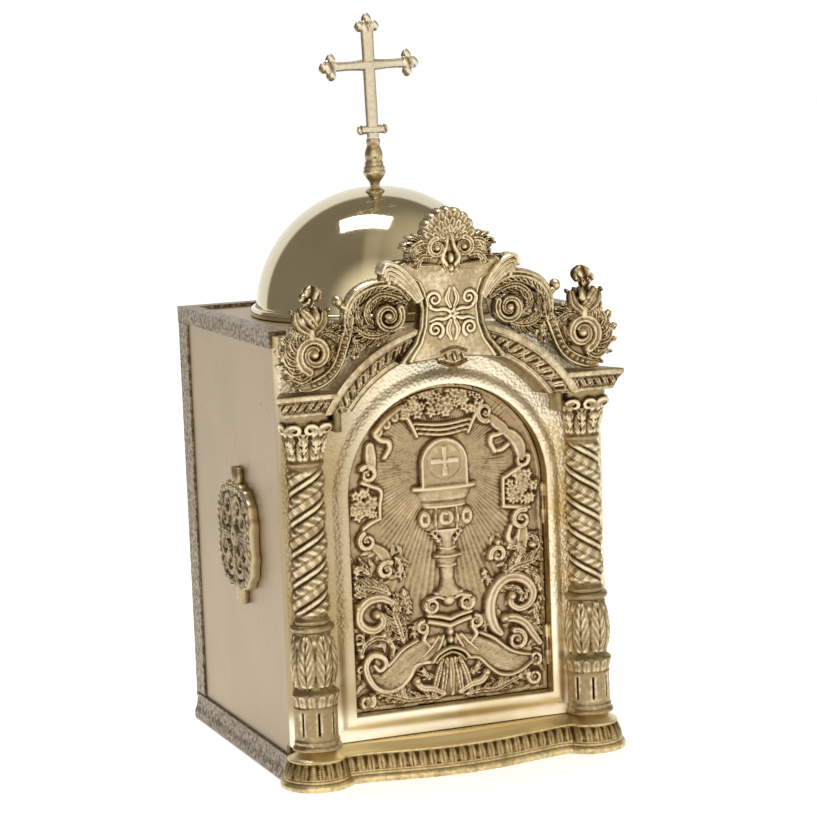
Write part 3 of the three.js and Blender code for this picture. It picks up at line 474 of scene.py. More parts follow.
    # Arch over the shell, and the shell: hanging lobes with two eyes.
    draw([[-19, 98, 2.2], [-13, 105, 2.2], [0, 110, 2.4], [12, 105.5, 2.2], [18, 98.5, 2.2]], 8.6)
    draw([[-15, 97, 1.6], [-10, 102, 1.7], [0, 105.5, 1.8], [9, 102, 1.7], [14, 97, 1.6]], 7.6)
    boss(0, 82, 20, 19, 4.4)
    for lobe in (-14, -7, 0, 7, 14):
        draw([[lobe * 0.6, 99, 2.4], [lobe * 0.95, 87, 3.8], [lobe * 1.2, 75, 3.4], [lobe * 1.4, 66, 2.4]],
             7.4, groove=0.35)
    for side in (1, -1):
        h -= 3.4 * np.exp(-(((x - side * 7.2) / 1.8) ** 2) - ((z - 93.5) / 3.2) ** 2)
        draw([[side * 8, 67, 3], [side * 19, 73, 4.2], [side * 29, 75, 4.2], [side * 35, 81, 3.8]], 7, 0.2)
        boss(side * 34.5, 82.5, 4.4, 4.4, 8.4)
        leaf([[side * 18, 84, 2.6], [side * 25, 86, 3.4], [side * 29, 91, 2.2]], 5.6, 3, 1.1)
        row = [[12, 63.5, 3], [27, 66, 5], [42, 65.5, 5.6], [54, 69.5, 5], [68, 74, 4], [77, 79, 2.6]]
        leaf([[side * a, b, c] for a, b, c in row], 7.4, 8, 1.15)
        leaf([[side * 44, 66, 3], [side * 48, 72, 3.6], [side * 50, 77, 2.2]], 7, 2, 1.0)
    volute(82.5, 72.5, 2.6, 1.3, 7, 3, 7.4)
    volute(-84, 68.5, 0.6, -1.3, 7, 3.4, 7.8)
    # Big scrolls of the right side.
    draw([[50, 117, 4], [44, 124, 6], [40.5, 136, 6.4], [41.5, 150, 6.4], [48, 162, 6.4], [58, 168.5, 6.4],
          [69, 168, 6], [79, 162, 5.6], [84, 152, 5], [80, 142, 4.4], [70, 138, 4], [62, 143, 3.8],
          [62, 151, 3.8]], 8, groove=0.2)
    boss(62.5, 151, 4.4, 4.8, 8.8)
    leaf([[54, 170, 4], [66, 178, 6], [80, 181, 5.5], [92, 185, 3]], 8, 5, 1.3)
    leaf([[64, 176, 3.4], [69, 184, 4.2], [73, 191, 2.6]], 7.4, 3)
    leaf([[78, 172, 3.6], [87, 168, 4.4], [92, 160, 2.6]], 7, 3)
    leaf([[50, 157, 3], [58, 160, 4], [68, 158, 3.6], [74, 152, 2.6]], 6.4, 4, 1.1, (-1,))
    leaf([[70, 146, 2.6], [76, 148, 3.2], [78, 154, 2.2]], 6.4, 2)
    boss(54.5, 131, 4.6, 4.4, 8.8)
    draw([[54, 130, 4.4], [65, 129.5, 5.2], [75, 123.5, 5.2], [82, 113.5, 4.8], [89, 104, 3.8]],
         8, groove=0.25)
    leaf([[70, 129, 3], [81, 123, 4.6], [91, 112, 3]], 7.2, 5, 1.2, (1,))
    volute(66, 109, 1.8, -1.4, 9.5, 3.6, 7.4)
    leaf([[88, 142, 3], [85, 133, 4], [89, 123, 3]], 6.8, 3)
    leaf([[91, 156, 2.6], [92, 148, 3], [90, 141, 2]], 6, 2)
    volute(50, 191, 3.4, -1.2, 8, 3.8, 7.4)
    boss(50, 203, 3.8, 3.8, 7.4)
    leaf([[60, 196, 3.4], [68, 199, 4], [75, 194, 2.6]], 6.8, 3)
    boss(85, 197, 5, 4, 7.8)
    leaf([[79, 206, 3], [88, 203, 4], [92, 192, 2.6]], 6.4, 3)
    leaf([[36, 178, 2.4], [38, 170, 3.4], [44, 164, 2.4]], 5.4, 3, 1.1)
    # Big scrolls of the left side.
    leaf([[-88, 112, 3.8], [-84, 121, 5.2], [-73, 127, 5.8], [-62, 124, 5.2], [-56.5, 115, 4.2],
          [-59, 107, 2.8]], 8, 6, 1.2, (1,))
    boss(-65.5, 129, 3.8, 4.2, 8.6)
    boss(-88, 112, 4.2, 4.2, 8)
    draw([[-56, 158, 4], [-66, 163, 5.2], [-78, 162, 5.6], [-87, 154, 5.4], [-88.5, 144, 5.2],
          [-82, 136, 5], [-72, 134, 4.6], [-65, 140, 4.2], [-67, 147, 3.8],
          [-71, 149, 3.6]], 8, groove=0.2)
    boss(-71, 148, 4.4, 4.8, 8.8)
    boss(-89, 156, 4.4, 4.4, 8.2)
    leaf([[-82, 167, 3.8], [-89, 172, 4.6], [-92, 180, 2.8]], 7.2, 3)
    leaf([[-58, 166, 4], [-71, 172, 5.6], [-84, 175, 4.6]], 7, 5, 1.2)
    leaf([[-78, 187, 4], [-86, 193, 4.6], [-91, 189, 2.8]], 7, 3)
    volute(-60, 188, 1.0, 1.2, 8, 3.6, 7.2)
    leaf([[-50, 198, 3], [-45, 189, 3.8], [-48, 180, 2.4]], 6, 3)
    leaf([[-46, 120, 4], [-50, 135, 5.8], [-54, 148, 5.2], [-50, 160, 3.2]], 7.6, 6, 1.3)
    leaf([[-44, 168, 3], [-42, 158, 3.8], [-40, 146, 2.6]], 6.2, 4, 1.1)
    leaf([[-60, 126, 3], [-63, 135, 3.8], [-60, 144, 2.6]], 6.4, 3)
    volute(-89, 128, 2.6, 1.2, 6, 2.6, 6.8)
    volute(-88, 98, -0.6, 1.0, 5, 2.4, 6.2)
    # Plain band inside the edge of the leaf.
    arch = np.hypot(x, np.maximum(z - DOOR_SPRING, 0))
    edge = np.minimum(DOOR_HALF - np.where(z > DOOR_SPRING, arch, np.abs(x)), z - DOOR_SILL)
    h = np.where(edge < 4, np.minimum(h, 1.2) + 1.2 * ramp(edge, 4, -1.5), h)
    return np.clip(h, 0, DOOR_RELIEF)


def soften(values, reach):
    """A running mean over a square of the grid, by sums along its rows and then its columns."""
    out = values
    for axis in (0, 1):
        size = 2 * reach + 1
        pad = [(0, 0), (0, 0)]
        pad[axis] = (reach + 1, reach)
        total = np.cumsum(np.pad(out, pad, mode="edge"), axis=axis)
        high = np.take(total, np.arange(size, total.shape[axis]), axis=axis)
        low = np.take(total, np.arange(0, total.shape[axis] - size), axis=axis)
        out = (high - low) / size
    return out


def exposure(height, reach, span):
    """How far a point stands out of its neighbourhood: 0 in a hollow, 0.5 on a plain, 1 on a ridge."""
    return ramp(0.5 + (height - soften(height, reach)) / (2 * span))


def inside_out(points, tris):
    """Whether a closed skin of triangles faces inwards, which its signed volume tells."""
    a, b, c = points[tris[:, 0]], points[tris[:, 1]], points[tris[:, 2]]
    return np.einsum("ij,ij->i", a, np.cross(b, c)).sum() < 0


def closed_skins(parts):
    """Points, faces and tones of closed skins. A part is (rings, tone): rings holds closed loops of
    points in millimetres, each ring joined to the next by quads and both ends closed by a fan, and
    tone is how exposed each point is. A skin that comes out inside out is turned."""
    points, faces, tones = [], [], []
    start = 0
    for rings, tone in parts:
        rows, cols = rings.shape[:2]
        index = start + np.arange(rows * cols).reshape(rows, cols)
        nxt = np.roll(index, -1, axis=1)
        quads = np.stack([index[:-1], nxt[:-1], nxt[1:], index[1:]], -1).reshape(-1, 4)
        first, last = start + rows * cols, start + rows * cols + 1
        low = np.stack([np.full(cols, first), nxt[0], index[0]], 1)
        high = np.stack([np.full(cols, last), index[-1], nxt[-1]], 1)
        flat = np.vstack([rings.reshape(-1, 3), rings[0].mean(0), rings[-1].mean(0)])
        if inside_out(flat, np.vstack([quads[:, [0, 1, 2]], quads[:, [0, 2, 3]], low, high]) - start):
            quads, low, high = quads[:, ::-1], low[:, ::-1], high[:, ::-1]
        points.append(flat)
        tones.append(np.concatenate([np.broadcast_to(tone, (rows, cols)).reshape(-1), [0.5, 0.5]]))
        faces.extend(quads.tolist() + low.tolist() + high.tolist())
        start += len(flat)
    return np.vstack(points), faces, np.concatenate(tones)


def smooth_piece(name, material, points, faces, tones, crease=62):
    """A smooth mesh from points in millimetres, with an edge wherever its faces meet at more than
    crease degrees. The tones go into the attribute that the cast finish reads."""
    mesh = bpy.data.meshes.new(name)
    mesh.from_pydata(in_metres(points).tolist(), [], faces)
    layer = mesh.attributes.new("exposed", "FLOAT", "POINT")
    layer.data.foreach_set("value", tones.astype(np.float32))
    mesh.polygons.foreach_set("use_smooth", np.ones(len(faces), bool))
    mesh.set_sharp_from_angle(angle=math.radians(crease))
    mesh.update()
    mesh.materials.append(material)
    piece = bpy.data.objects.new(name, mesh)
    bpy.context.scene.collection.objects.link(piece)
    return piece


def cast_mesh(name, material, parts):
    """One casting from closed skins."""
    return smooth_piece(name, material, *closed_skins(parts))


def points_of(x, y, z):
    """Points from their x, y and z, each spread to the size of all three."""
    return np.stack(np.broadcast_arrays(x, y, z), -1)


def flat_back(front, y):
    """Two points for each row of a front, which close it behind at a depth: its ends."""
    rear = front[:, [-1, 0]].copy()
    rear[..., 1] = y
    return rear


def closed_behind(front, tone, rear, rear_tone=0.3):
    """The rows of a front and their tones with the two points behind each of them."""
    # The rear points take rear_tone, by default a darker 0.3: painted shade on the backs and sides that face
    # the plate.
    tones = np.concatenate([tone, np.full((len(tone), 2), rear_tone)], 1)
    return np.concatenate([front, rear], 1), tones


def cast_brass(name, bright, mid, dark, gloss, speckle=0.25):
    """Cast brass: bright where it stands out and is rubbed, brown in the hollows, partly from
    browning and partly as painted shade, with cloudy tarnish and the fine skin of a casting."""
    material, tree, shader, place = finish_tree(name)
    exposed = place.node("ShaderNodeAttribute", {"attribute_name": "exposed"}, {}, output=2)
    clouds = noise(place, 38.0, 4.0)
    skin = noise(place, 700.0, 3.0)
    spots = noise(place, 260.0, 3.0)
    # exposed is low in hollows and creases: browning patina and painted shade together.
    shown = exposed + (clouds - 0.5) * speckle + (spots - 0.5) * speckle + (skin - 0.5) * 0.12
    colour = shown.step(0.12, 0.5).mix(dark, mid)
    colour = shown.step(0.5, 0.82).mix(colour, bright)
    roughness = gloss + (1 - shown.step(0.15, 0.6)) * 0.32 + clouds * 0.08
    set_metal(tree, shader, colour, roughness, skin + clouds * 0.6, 0.00016)
    return material


def door_grid():
    """Points over the arched leaf: rows from the sill up, closer together where the arch closes in,
    and on each row evenly spaced columns between its two edges."""
    straight = int(DOOR_ROWS * 0.66)
    lower = np.linspace(DOOR_SILL, DOOR_SPRING, straight, endpoint=False)
    rise = np.linspace(0, math.pi / 2 - 0.03, DOOR_ROWS - straight)
    level = np.concatenate([lower, DOOR_SPRING + DOOR_HALF * np.sin(rise)])
    half = np.concatenate([np.full(straight, DOOR_HALF), DOOR_HALF * np.cos(rise)])
    x = half[:, None] * np.linspace(-1, 1, DOOR_COLUMNS)[None, :]
    return x, np.broadcast_to(level[:, None], x.shape).copy()


door_x, door_z = door_grid()
door_height = door_relief(door_x, door_z)
door_front = points_of(door_x, DOOR_GROUND - door_height, door_z)
# Tone: dark in the hollows and in thin lines along the foot of each raised form, which is browning and
# painted shade together, and lighter on the highest parts.
door_tone = (0.06 + exposure(door_height, 5, 2.4) * 0.36 + exposure(door_height, 2, 0.9) * 0.42
             + ramp(door_height / 8) * 0.16)
door_skin = closed_behind(door_front, door_tone, flat_back(door_front, DOOR_BACK), 0.5)
door_brass = cast_brass(
    "door_brass", (0.72, 0.60, 0.42, 1), (0.41, 0.31, 0.185, 1), (0.15, 0.095, 0.045, 1), 0.34, 0.4
)
door = cast_mesh("door_relief", door_brass, [door_skin])
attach(door, "door")
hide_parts("door_leaf")


# Front plate: one casting, flat behind, with the arched doorway and its moulded rim. Its face is
# hammered above and round the arch and left plain beside the lower part of the door.
PLATE_FRONT = -14.0
PLATE_BACK = -0.3
PLATE_HALF = 156.0
PLATE_FOOT = 34.6
PLATE_TOP = 408.0
DOORWAY_HALF = 97.0
DOORWAY_SILL = 58.3
DOORWAY_SPRING = 257.0
SIDE_STEPS = 60


def doorway_line(steps):
    """The doorway outline as a closed loop of points with the way outwards at each, and the point of
    the plate's outer edge that each one faces: sill, right jamb, arch and left jamb."""
    corner = math.atan2(PLATE_TOP - DOORWAY_SPRING, PLATE_HALF)
    angle = np.sort(np.concatenate([np.linspace(0, math.pi, steps), [corner, math.pi - corner]]))
    rim = np.stack([DOORWAY_HALF * np.cos(angle), DOORWAY_SPRING + DOORWAY_HALF * np.sin(angle)], 1)
    out = np.stack([np.cos(angle), np.sin(angle)], 1)
    edge = np.minimum(PLATE_HALF / np.maximum(abs(out[:, 0]), 1e-6),
                      (PLATE_TOP - DOORWAY_SPRING) / np.maximum(out[:, 1], 1e-6))
    far = np.stack([edge * out[:, 0], DOORWAY_SPRING + edge * out[:, 1]], 1)
    jamb = np.linspace(DOORWAY_SILL, DOORWAY_SPRING, SIDE_STEPS, endpoint=False)
    jamb_far = np.linspace(PLATE_FOOT, DOORWAY_SPRING, SIDE_STEPS, endpoint=False)
    jamb_out = np.tile([1.0, 0.0], (SIDE_STEPS, 1))
    jamb_out[0] = (1, -1)
    sill = np.linspace(-1, 1, SIDE_STEPS + 2)[1:-1]
    right = np.stack([np.full(SIDE_STEPS, DOORWAY_HALF), jamb], 1)
    right_far = np.stack([np.full(SIDE_STEPS, PLATE_HALF), jamb_far], 1)
    low = np.stack([sill * DOORWAY_HALF, np.full(SIDE_STEPS, DOORWAY_SILL)], 1)
    low_far = np.stack([sill * PLATE_HALF, np.full(SIDE_STEPS, PLATE_FOOT)], 1)
    swap = np.array([-1.0, 1.0])
    line = np.vstack([low, right, rim, (right * swap)[::-1]])
    ways = np.vstack([np.tile([0.0, -1.0], (SIDE_STEPS, 1)), jamb_out, out, (jamb_out * swap)[::-1]])
    outer = np.vstack([low_far, right_far, far, (right_far * swap)[::-1]])
    return line, ways, outer


def plate_rings():
    """The plate as one closed tube round the doorway: at each point of the outline the section runs
    from the back of the jamb over the rim and its cove to the outer edge and back."""
    line, ways, outer = doorway_line(110)
    rim = [(0, PLATE_BACK), (0, -19.0), (0.3, -19.8), (1.0, -20.3), (2.2, -20.5), (4.2, -20.4),
           (6.0, -19.9), (7.6, -19.1), (9.0, -18.1), (10.4, -17.0), (11.6, -16.0), (12.8, -15.1),
           (14.2, -14.4), (16.0, -14.0)]
    rings = [points_of(line[:, 0] + o * ways[:, 0], y, line[:, 1] + o * ways[:, 1]) for o, y in rim]
    start = rings[-1]
    for share in (0.3, 0.65, 0.985):
        rings.append(points_of(start[:, 0] + (outer[:, 0] - start[:, 0]) * share, PLATE_FRONT,
                               start[:, 2] + (outer[:, 1] - start[:, 2]) * share))
    rings.append(points_of(outer[:, 0], PLATE_FRONT + 0.8, outer[:, 1]))
    rings.append(points_of(outer[:, 0], PLATE_BACK, outer[:, 1]))
    # Tones for each ring: low at the back of the doorway's reveal and at the outer back edge, which is
    # painted shade.
    tone = np.array([0.3, 0.42, 0.62, 0.7, 0.72, 0.7, 0.68, 0.66, 0.65, 0.64, 0.63, 0.62, 0.62, 0.62,
                     0.64, 0.66, 0.66, 0.6, 0.4])
    return np.stack(rings, 1), tone


def ring_mesh(name, material, rings, tone):
    """A tube that closes on itself both ways: every ring is joined to the next and the last to the
    first, so it needs no end caps."""
    rows, cols = rings.shape[:2]
    index = np.arange(rows * cols).reshape(rows, cols)
    nxt, below = np.roll(index, -1, axis=1), np.roll(index, -1, axis=0)
    quads = np.stack([index, nxt, np.roll(below, -1, axis=1), below], -1).reshape(-1, 4)
    flat = rings.reshape(-1, 3)
    if inside_out(flat, np.vstack([quads[:, [0, 1, 2]], quads[:, [0, 2, 3]]])):
        quads = quads[:, ::-1]
    tones = np.broadcast_to(tone, (rows, cols)).reshape(-1)
    return smooth_piece(name, material, flat, quads.tolist(), tones, 40)


def hammered_brass():
    """Pale gold plate: small hammer marks on the upper part, plain and faintly wiped below, with clouds
    of deeper gold and a stain, painted shade in the doorway's reveal, along the back edge and beside
    the left column, and painted light that makes the band below the doorway and the top paler."""
    material, tree, shader, place = finish_tree("hammered_brass")
    exposed = place.node("ShaderNodeAttribute", {"attribute_name": "exposed"}, {}, output=2)
    height = place.node("ShaderNodeSeparateXYZ", {}, {"Vector": place}, output=2)
    upper = height.step(0.11, 0.15) * exposed.step(0.5, 0.6)
    marks = place.node("ShaderNodeTexVoronoi", {"feature": "F1"}, {"Vector": place, "Scale": 330.0})
    clouds = noise(place, 16.0, 4.0)
    skin = noise(place, 600.0, 3.0)
    sides = place.node("ShaderNodeSeparateXYZ", {}, {"Vector": place}, output=0)
    # left: the plate beside the left column, between the sill band and the top, painted darker as shade.
    left = (0 - sides).step(0.04, 0.115) * (1 - height.step(0.33, 0.38)) * height.step(0.055, 0.075)
    sill = 1 - height.step(0.055, 0.075)
    shown = exposed + (clouds - 0.5) * 0.7 - (marks - 0.35) * upper * 0.25
    # Painted light: the band below the doorway (sill) and the top of the plate are made paler.
    shown = shown + sill * 0.3 + height.step(0.28, 0.34) * 0.15
    stain = noise(place, 9.0, 3.0).step(0.5, 0.62)
    colour = shown.step(0.15, 0.5).mix((0.20, 0.12, 0.04, 1), (0.62, 0.47, 0.23, 1))
    colour = shown.step(0.45, 0.75).mix(colour, (0.95, 0.885, 0.72, 1))
    clean = height.step(0.30, 0.34) * sides.step(-0.06, 0.0)
    colour = (stain * 0.55 * (1 - clean)).mix(colour, (0.60, 0.44, 0.19, 1))
    # Painted shade on the plate beside the left column.
    colour = (left * 0.8).mix(colour, (0.36, 0.27, 0.14, 1))
    roughness = 0.34 + clouds * 0.12 + upper * 0.06
    set_metal(tree, shader, colour, roughness, marks * upper + skin * 0.1, 0.00055)
    return material


plate = ring_mesh("hammered_plate", hammered_brass(), *plate_rings())
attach(plate, "case")
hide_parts("front_plate")


# Foot: one casting under the front, two round ends and a bow between them, with fillets, a band of
# upright leaves and a slope up to the plate, which is painted paler as if lit from above.
FOOT_RADIUS = 34.3
COLUMN_X = 135.0
COLUMN_Y = -12.8
FOOT_TOP = 34.3
FOOT_LEAF_PITCH = 9.5
BOX_HALF = 156.4


def window(value, low, high, soft):
    """1 between low and high, 0 outside them, with a straight rise and fall soft wide inside them."""
    return ramp(value, low, soft) * ramp(value, high, -soft)


def foot_plan(inset):
    """The front outline at an inset: the left round end from the side of the box, the bow, which is
    a cosine swell, wherever it stands in front of the round ends, and the right round end."""
    wrap = np.linspace(math.radians(218), math.radians(90), 46)
    x = np.linspace(-COLUMN_X, COLUMN_X, 300)
    bow = -33.5 - 15 * np.cos(math.pi / 2 * np.minimum(1, abs(x) / 100)) ** 1.3 + inset
    radius = FOOT_RADIUS - inset
    off = abs(x) - COLUMN_X
    ends = COLUMN_Y - np.sqrt(np.maximum(radius**2 - off**2, 0))
    middle = np.stack([x, np.minimum(bow, ends)], 1)
    left = np.stack([-COLUMN_X + radius * np.cos(wrap), COLUMN_Y - radius * np.sin(wrap)], 1)
    left = left[:-1]
    return np.vstack([left, middle, (left * [-1, 1])[::-1]])


def foot_rings():
    """The foot as one closed skin: at each point of the plan the section climbs the fillets, the leaf
    band and the slope, and comes down behind against the box."""
    levels = [(1.6, 0), (0.3, 0.8), (0, 2.6), (0.3, 4.6), (1.2, 6), (3.0, 7), (3.4, 8.2), (2.9, 9.2),
              (3.6, 10)]
    levels += [(3.7 + 4.7 * t**1.6, 10.4 + 13.4 * t) for t in np.linspace(0, 1, 20)]
    levels += [(7.4, 24.4), (7.2, 25.6), (8.2, 26.6)]
    levels += [(8.6 + (t**0.8) * 9, 26.8 + 7.0 * t) for t in np.linspace(0, 1, 6)]
    plans = np.stack([foot_plan(inset) for inset, _ in levels], 1)
    z = np.array([level for _, level in levels])
    step = np.hypot(*np.diff(plans[:, 2], axis=0).T)
    along = np.concatenate([[0], np.cumsum(step)])
    along = (along - along[-1] / 2)[:, None]
    band = window(z, 10.6, 24, 1.2)
    t = ramp(z, 10, 14)[None, :]
    cell = (along / FOOT_LEAF_PITCH) % 1.0 - 0.5
    width = 0.47 * np.sqrt(ramp(np.sin(math.pi * (0.12 + 0.82 * t))))
    leaf = ramp(1 - (abs(cell) / width) ** 2)
    vein = 1 - 0.5 * peak(cell, 0.07) - 0.3 * np.cos(2 * math.pi * (t * 3.5 + abs(cell) * 3)) ** 2
    dart = ramp(1 - ((0.5 - abs(cell)) / 0.1) ** 2) * ramp(1 - t * 1.2)
    relief = 2.2 * np.maximum(leaf**0.5 * vein, dart * 0.8) * band[None, :]
    way = np.gradient(plans[:, 2], axis=0)
    way /= np.maximum(np.hypot(way[:, 0], way[:, 1]), 1e-9)[:, None]
    out = np.stack([way[:, 1], -way[:, 0]], 1)
    plan = plans + out[:, None, :] * (relief[..., None] - 1.2 * band[None, :, None])
    x, y = plan[:, :1, 0], plan[:, :1, 1]
    behind = np.where(abs(x) > BOX_HALF, np.maximum(y, -0.5), -0.5)
    rear = points_of(np.clip(x, -BOX_HALF, BOX_HALF), behind, np.array([[FOOT_TOP - 0.4, 0]]))
    nearest = np.where(abs(plan[..., 0]) > BOX_HALF, 99, -0.8)
    shape = points_of(plan[..., 0], np.minimum(plan[..., 1], nearest), z[None, :])
    # Tones: dark between the leaves and in the two grooves (levels 5 and 8), which is painted shade with
    # browning; the upward slope above z 26 is painted paler, as light from above would make it.
    tone = ramp(0.34 + (relief - 1.0) * 0.36) * band + (0.7 + 0.25 * (z > 26)) * (1 - band)
    tone = tone - 0.25 * np.isin(np.arange(len(levels)), (5, 8))[None, :]
    return closed_behind(shape, tone, rear)


worn_and_lit_gold = cast_brass(
    "worn_and_lit_gold", (0.80, 0.66, 0.38, 1), (0.36, 0.26, 0.12, 1), (0.09, 0.05, 0.018, 1), 0.3, 0.45
)
foot = cast_mesh("leafed_foot", worn_and_lit_gold, [foot_rings()])
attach(foot, "case")
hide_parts("front_foot")


# Twisted columns: each is cast whole, hollow behind and flat against the plate, with a drum, a vase
# of leaves, a two-start spiral of leaf and band, and a leafy capital. The right one is the mirror.
SHAFT_BOTTOM = 155.5
SHAFT_TOP = 290.5
SHAFT_LEAD = 55.4
SHAFT_RADIUS = 14.6
SCROLL_PITCH = 12.6
VASE_FOOT = 91
VASE_TOP = 141
CAPITAL_FOOT = 297
CAPITAL_TOP = 338.1
COLUMN_BACK = -14.4


def leaf_wave(angle, count, share):
    """Upright leaves round a drum: each fills a cell, widest at a third of its height, with a midrib
    and veins that rise outwards. share runs from 0 at the foot to 1 at the tip."""
    cell = (angle * count / (2 * math.pi)) % 1.0 - 0.5
    width = 0.5 * np.sqrt(ramp(np.sin(math.pi * (0.18 + 0.8 * share)))) + 1e-3
    body = bulge(cell / width)
    vein = 1 - 0.45 * peak(cell, 0.05) - 0.3 * wave(5 * share - 4 * abs(cell))
    return body * vein


def column_rings(side):
    """Radius of the column over angle and height: the turned outline, the twist with its raised band
    where the phase is half a turn, leaves across the lobes, the leaf rings of vase and capital, and
    the scrolls that stand between the upper leaves of the capital."""
    outline = np.array([
        [34.6, 23], [36, 23.4], [38, 22.6], [39.5, 21.2], [42, 21.6], [44, 20.4], [46, 20.2], [71, 20.2],
        [73, 20.8], [75, 19.4], [79, 20], [85, 22], [87, 21.4], [89, 19], [91, 17.6], [95, 18], [103, 20],
        [114, 20.6], [126, 19.4], [136, 17.2], [141, 16.4], [143, 20], [145.5, 21], [148, 20],
        [149.5, 16.6], [152, 17.2], [154, 15.6], [156, SHAFT_RADIUS], [290, SHAFT_RADIUS], [292, 16.6],
        [294.5, 17.6], [296.5, 16.4], [298, 15], [306, 15.4], [318, 18.4], [326, 21], [331.5, 22.4],
        [333, 21.4], [335, 21.6], [338, 21.6],
    ])
    z = np.linspace(34.6, CAPITAL_TOP, 400)[:, None]
    t = np.linspace(0, math.pi, 112)[None, :]
    angle = math.pi + t
    radius = np.interp(z, outline[:, 0], outline[:, 1]) + 0 * t
    inside = ramp(np.minimum((z - SHAFT_BOTTOM) / 5, (SHAFT_TOP - z) / 5))
    phase = 2 * (angle + side * 2 * math.pi * (z - SHAFT_BOTTOM) / SHAFT_LEAD)
    around = (phase / (2 * math.pi)) % 1.0 - 0.5
    band = bulge((0.5 - abs(around)) / 0.115)
    run = angle * SHAFT_RADIUS / 6.5 - side * (z - SHAFT_BOTTOM) / 6.5
    leaf = wave(run * 0.55 + 1.1 * abs(around))
    leaf = leaf * (0.75 + 0.25 * np.cos(2 * math.pi * (run * 2.2 + 1.1 * abs(around))))
    lobe = bulge(around / 0.36)
    groove = 1 - 0.25 * peak(around, 0.05)
    relief = inside * np.maximum(1.9 * band, 3.7 * lobe * (0.62 + 0.38 * leaf) * groove)
    vase = window(z, VASE_FOOT, VASE_TOP, 2)
    relief = relief + vase * 2.0 * leaf_wave(angle, 7, ramp(z, VASE_FOOT, VASE_TOP - VASE_FOOT))
    curl = peak(z - 134, 4) * ramp(np.cos(7 * angle))
    relief = relief + vase * 1.8 * curl
    collar = window(z, 74, 87, 1.5)
    relief = relief + collar * 1.2 * leaf_wave(angle, 14, ramp(z, 74, 12))
    slots = window(z, 48, 70, 1.5)
    cut = peak(np.sin(angle * 4 + 0.6), 0.16)
    relief = relief - slots * 2.2 * cut
    low = ramp(z, CAPITAL_FOOT, 2) * ramp(z, 318, -3)
    relief = relief + low * 2.6 * leaf_wave(angle, 8, ramp(z, CAPITAL_FOOT, 21))
    arc = (angle - 1.5 * math.pi) * 20 + 0 * z
    scrolls = np.zeros_like(relief)
    for k in range(-2, 3):
        way = 1 if k % 2 else -1
        eye = spiral(k * SCROLL_PITCH, 325.5, math.pi * (0.5 + way * 0.8), -way * 1.4, 5.6, 1.6, 2.3, 1.6)
        press(scrolls, arc, z + 0 * angle, eye, 3.4, 0.2)
        between = (k + 0.5) * SCROLL_PITCH
        stem = [[between, 305, 2.6], [between, 314, 3.6], [between, 322, 2.0]]
        press_leaf(scrolls, arc, z + 0 * angle, smooth_line(stem), 2.8, 3, 1.1)
    relief = relief + scrolls
    square = ramp(z, 312, 14)
    corner = (abs(np.cos(angle)) ** 4 + abs(np.sin(angle)) ** 4) ** -0.25 - 1
    eye = peak(z - 326, 4.5) * peak(corner - 0.19, 0.05)
    radius = radius + radius * square * corner * 0.75 + relief + 2.0 * eye
    shape = points_of(side * COLUMN_X - radius * np.cos(t),
                      COLUMN_BACK - np.sin(t) * (radius + COLUMN_Y - COLUMN_BACK - 3.2), z)
    # Tone: darker in the hollows of the twist and the leaves and in the cut slots of the drum, which is
    # painted shade together with browning.
    tone = ramp(0.52 + (relief - soften(relief, 5)) / 2.6) - 0.3 * slots * cut
    shape[:, [0, -1], 1] = COLUMN_BACK - 0.2
    return closed_behind(shape, tone, flat_back(shape, COLUMN_BACK + 0.1))


old_gold = cast_brass(
    "old_gold", (0.76, 0.645, 0.45, 1), (0.31, 0.235, 0.125, 1), (0.07, 0.04, 0.016, 1), 0.26, 0.45
)
for name, side in (("left_column", -1), ("right_column", 1)):
    twist = cast_mesh(name + "_twist", old_gold, [column_rings(side)])
    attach(twist, "case")
    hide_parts(name)


# Cornice: one casting, a block over each capital and the arch that springs between them, with leaves
# on the sloped faces between plain fillets.
CORNICE_TOP = 357.5
CORNICE_BOTTOM = 338.4
CORNICE_FRONT = -42.8
CORNICE_BACK = -14.3
CORNICE_HALF = 167.8
CORNICE_INNER = 110.5
ARCH_CENTRE = 271.0


def running_leaf(along, share, pitch):
    """A running ornament on a band: leaning leaves, one to a pitch, with a winding stalk through them
    and a bead at the foot of each. share runs from 0 to 1 across the band."""
    lean = along / pitch + 0.8 * share
    cell = lean % 1.0 - 0.5
    leaf = bulge(cell / 0.4) * np.sqrt(ramp(np.sin(math.pi * share)))
    vein = 1 - 0.5 * peak(cell, 0.07) - 0.3 * wave(3 * share + 2 * abs(cell))
    bead = ramp(1 - ((cell % 1.0 - 0.5) / 0.13) ** 2 - ((share - 0.14) / 0.13) ** 2)
    stalk = 0.6 * peak(share - 0.5 - 0.32 * np.sin(2 * math.pi * along / (2 * pitch)), 0.09)
    uneven = 0.82 + 0.18 * np.sin(along * 0.37) * np.cos(along * 0.11)
    return np.maximum(leaf * vein * uneven, np.maximum(bead, stalk))


def leafed_tone(relief, band):
    """How exposed the cornice is: by height on its leaf band, darker in its hollows as browning and painted
    shade, and one tone on its plain fillets.
    """
    return np.where(band, ramp(0.04 + relief / 2.7), 0.66)


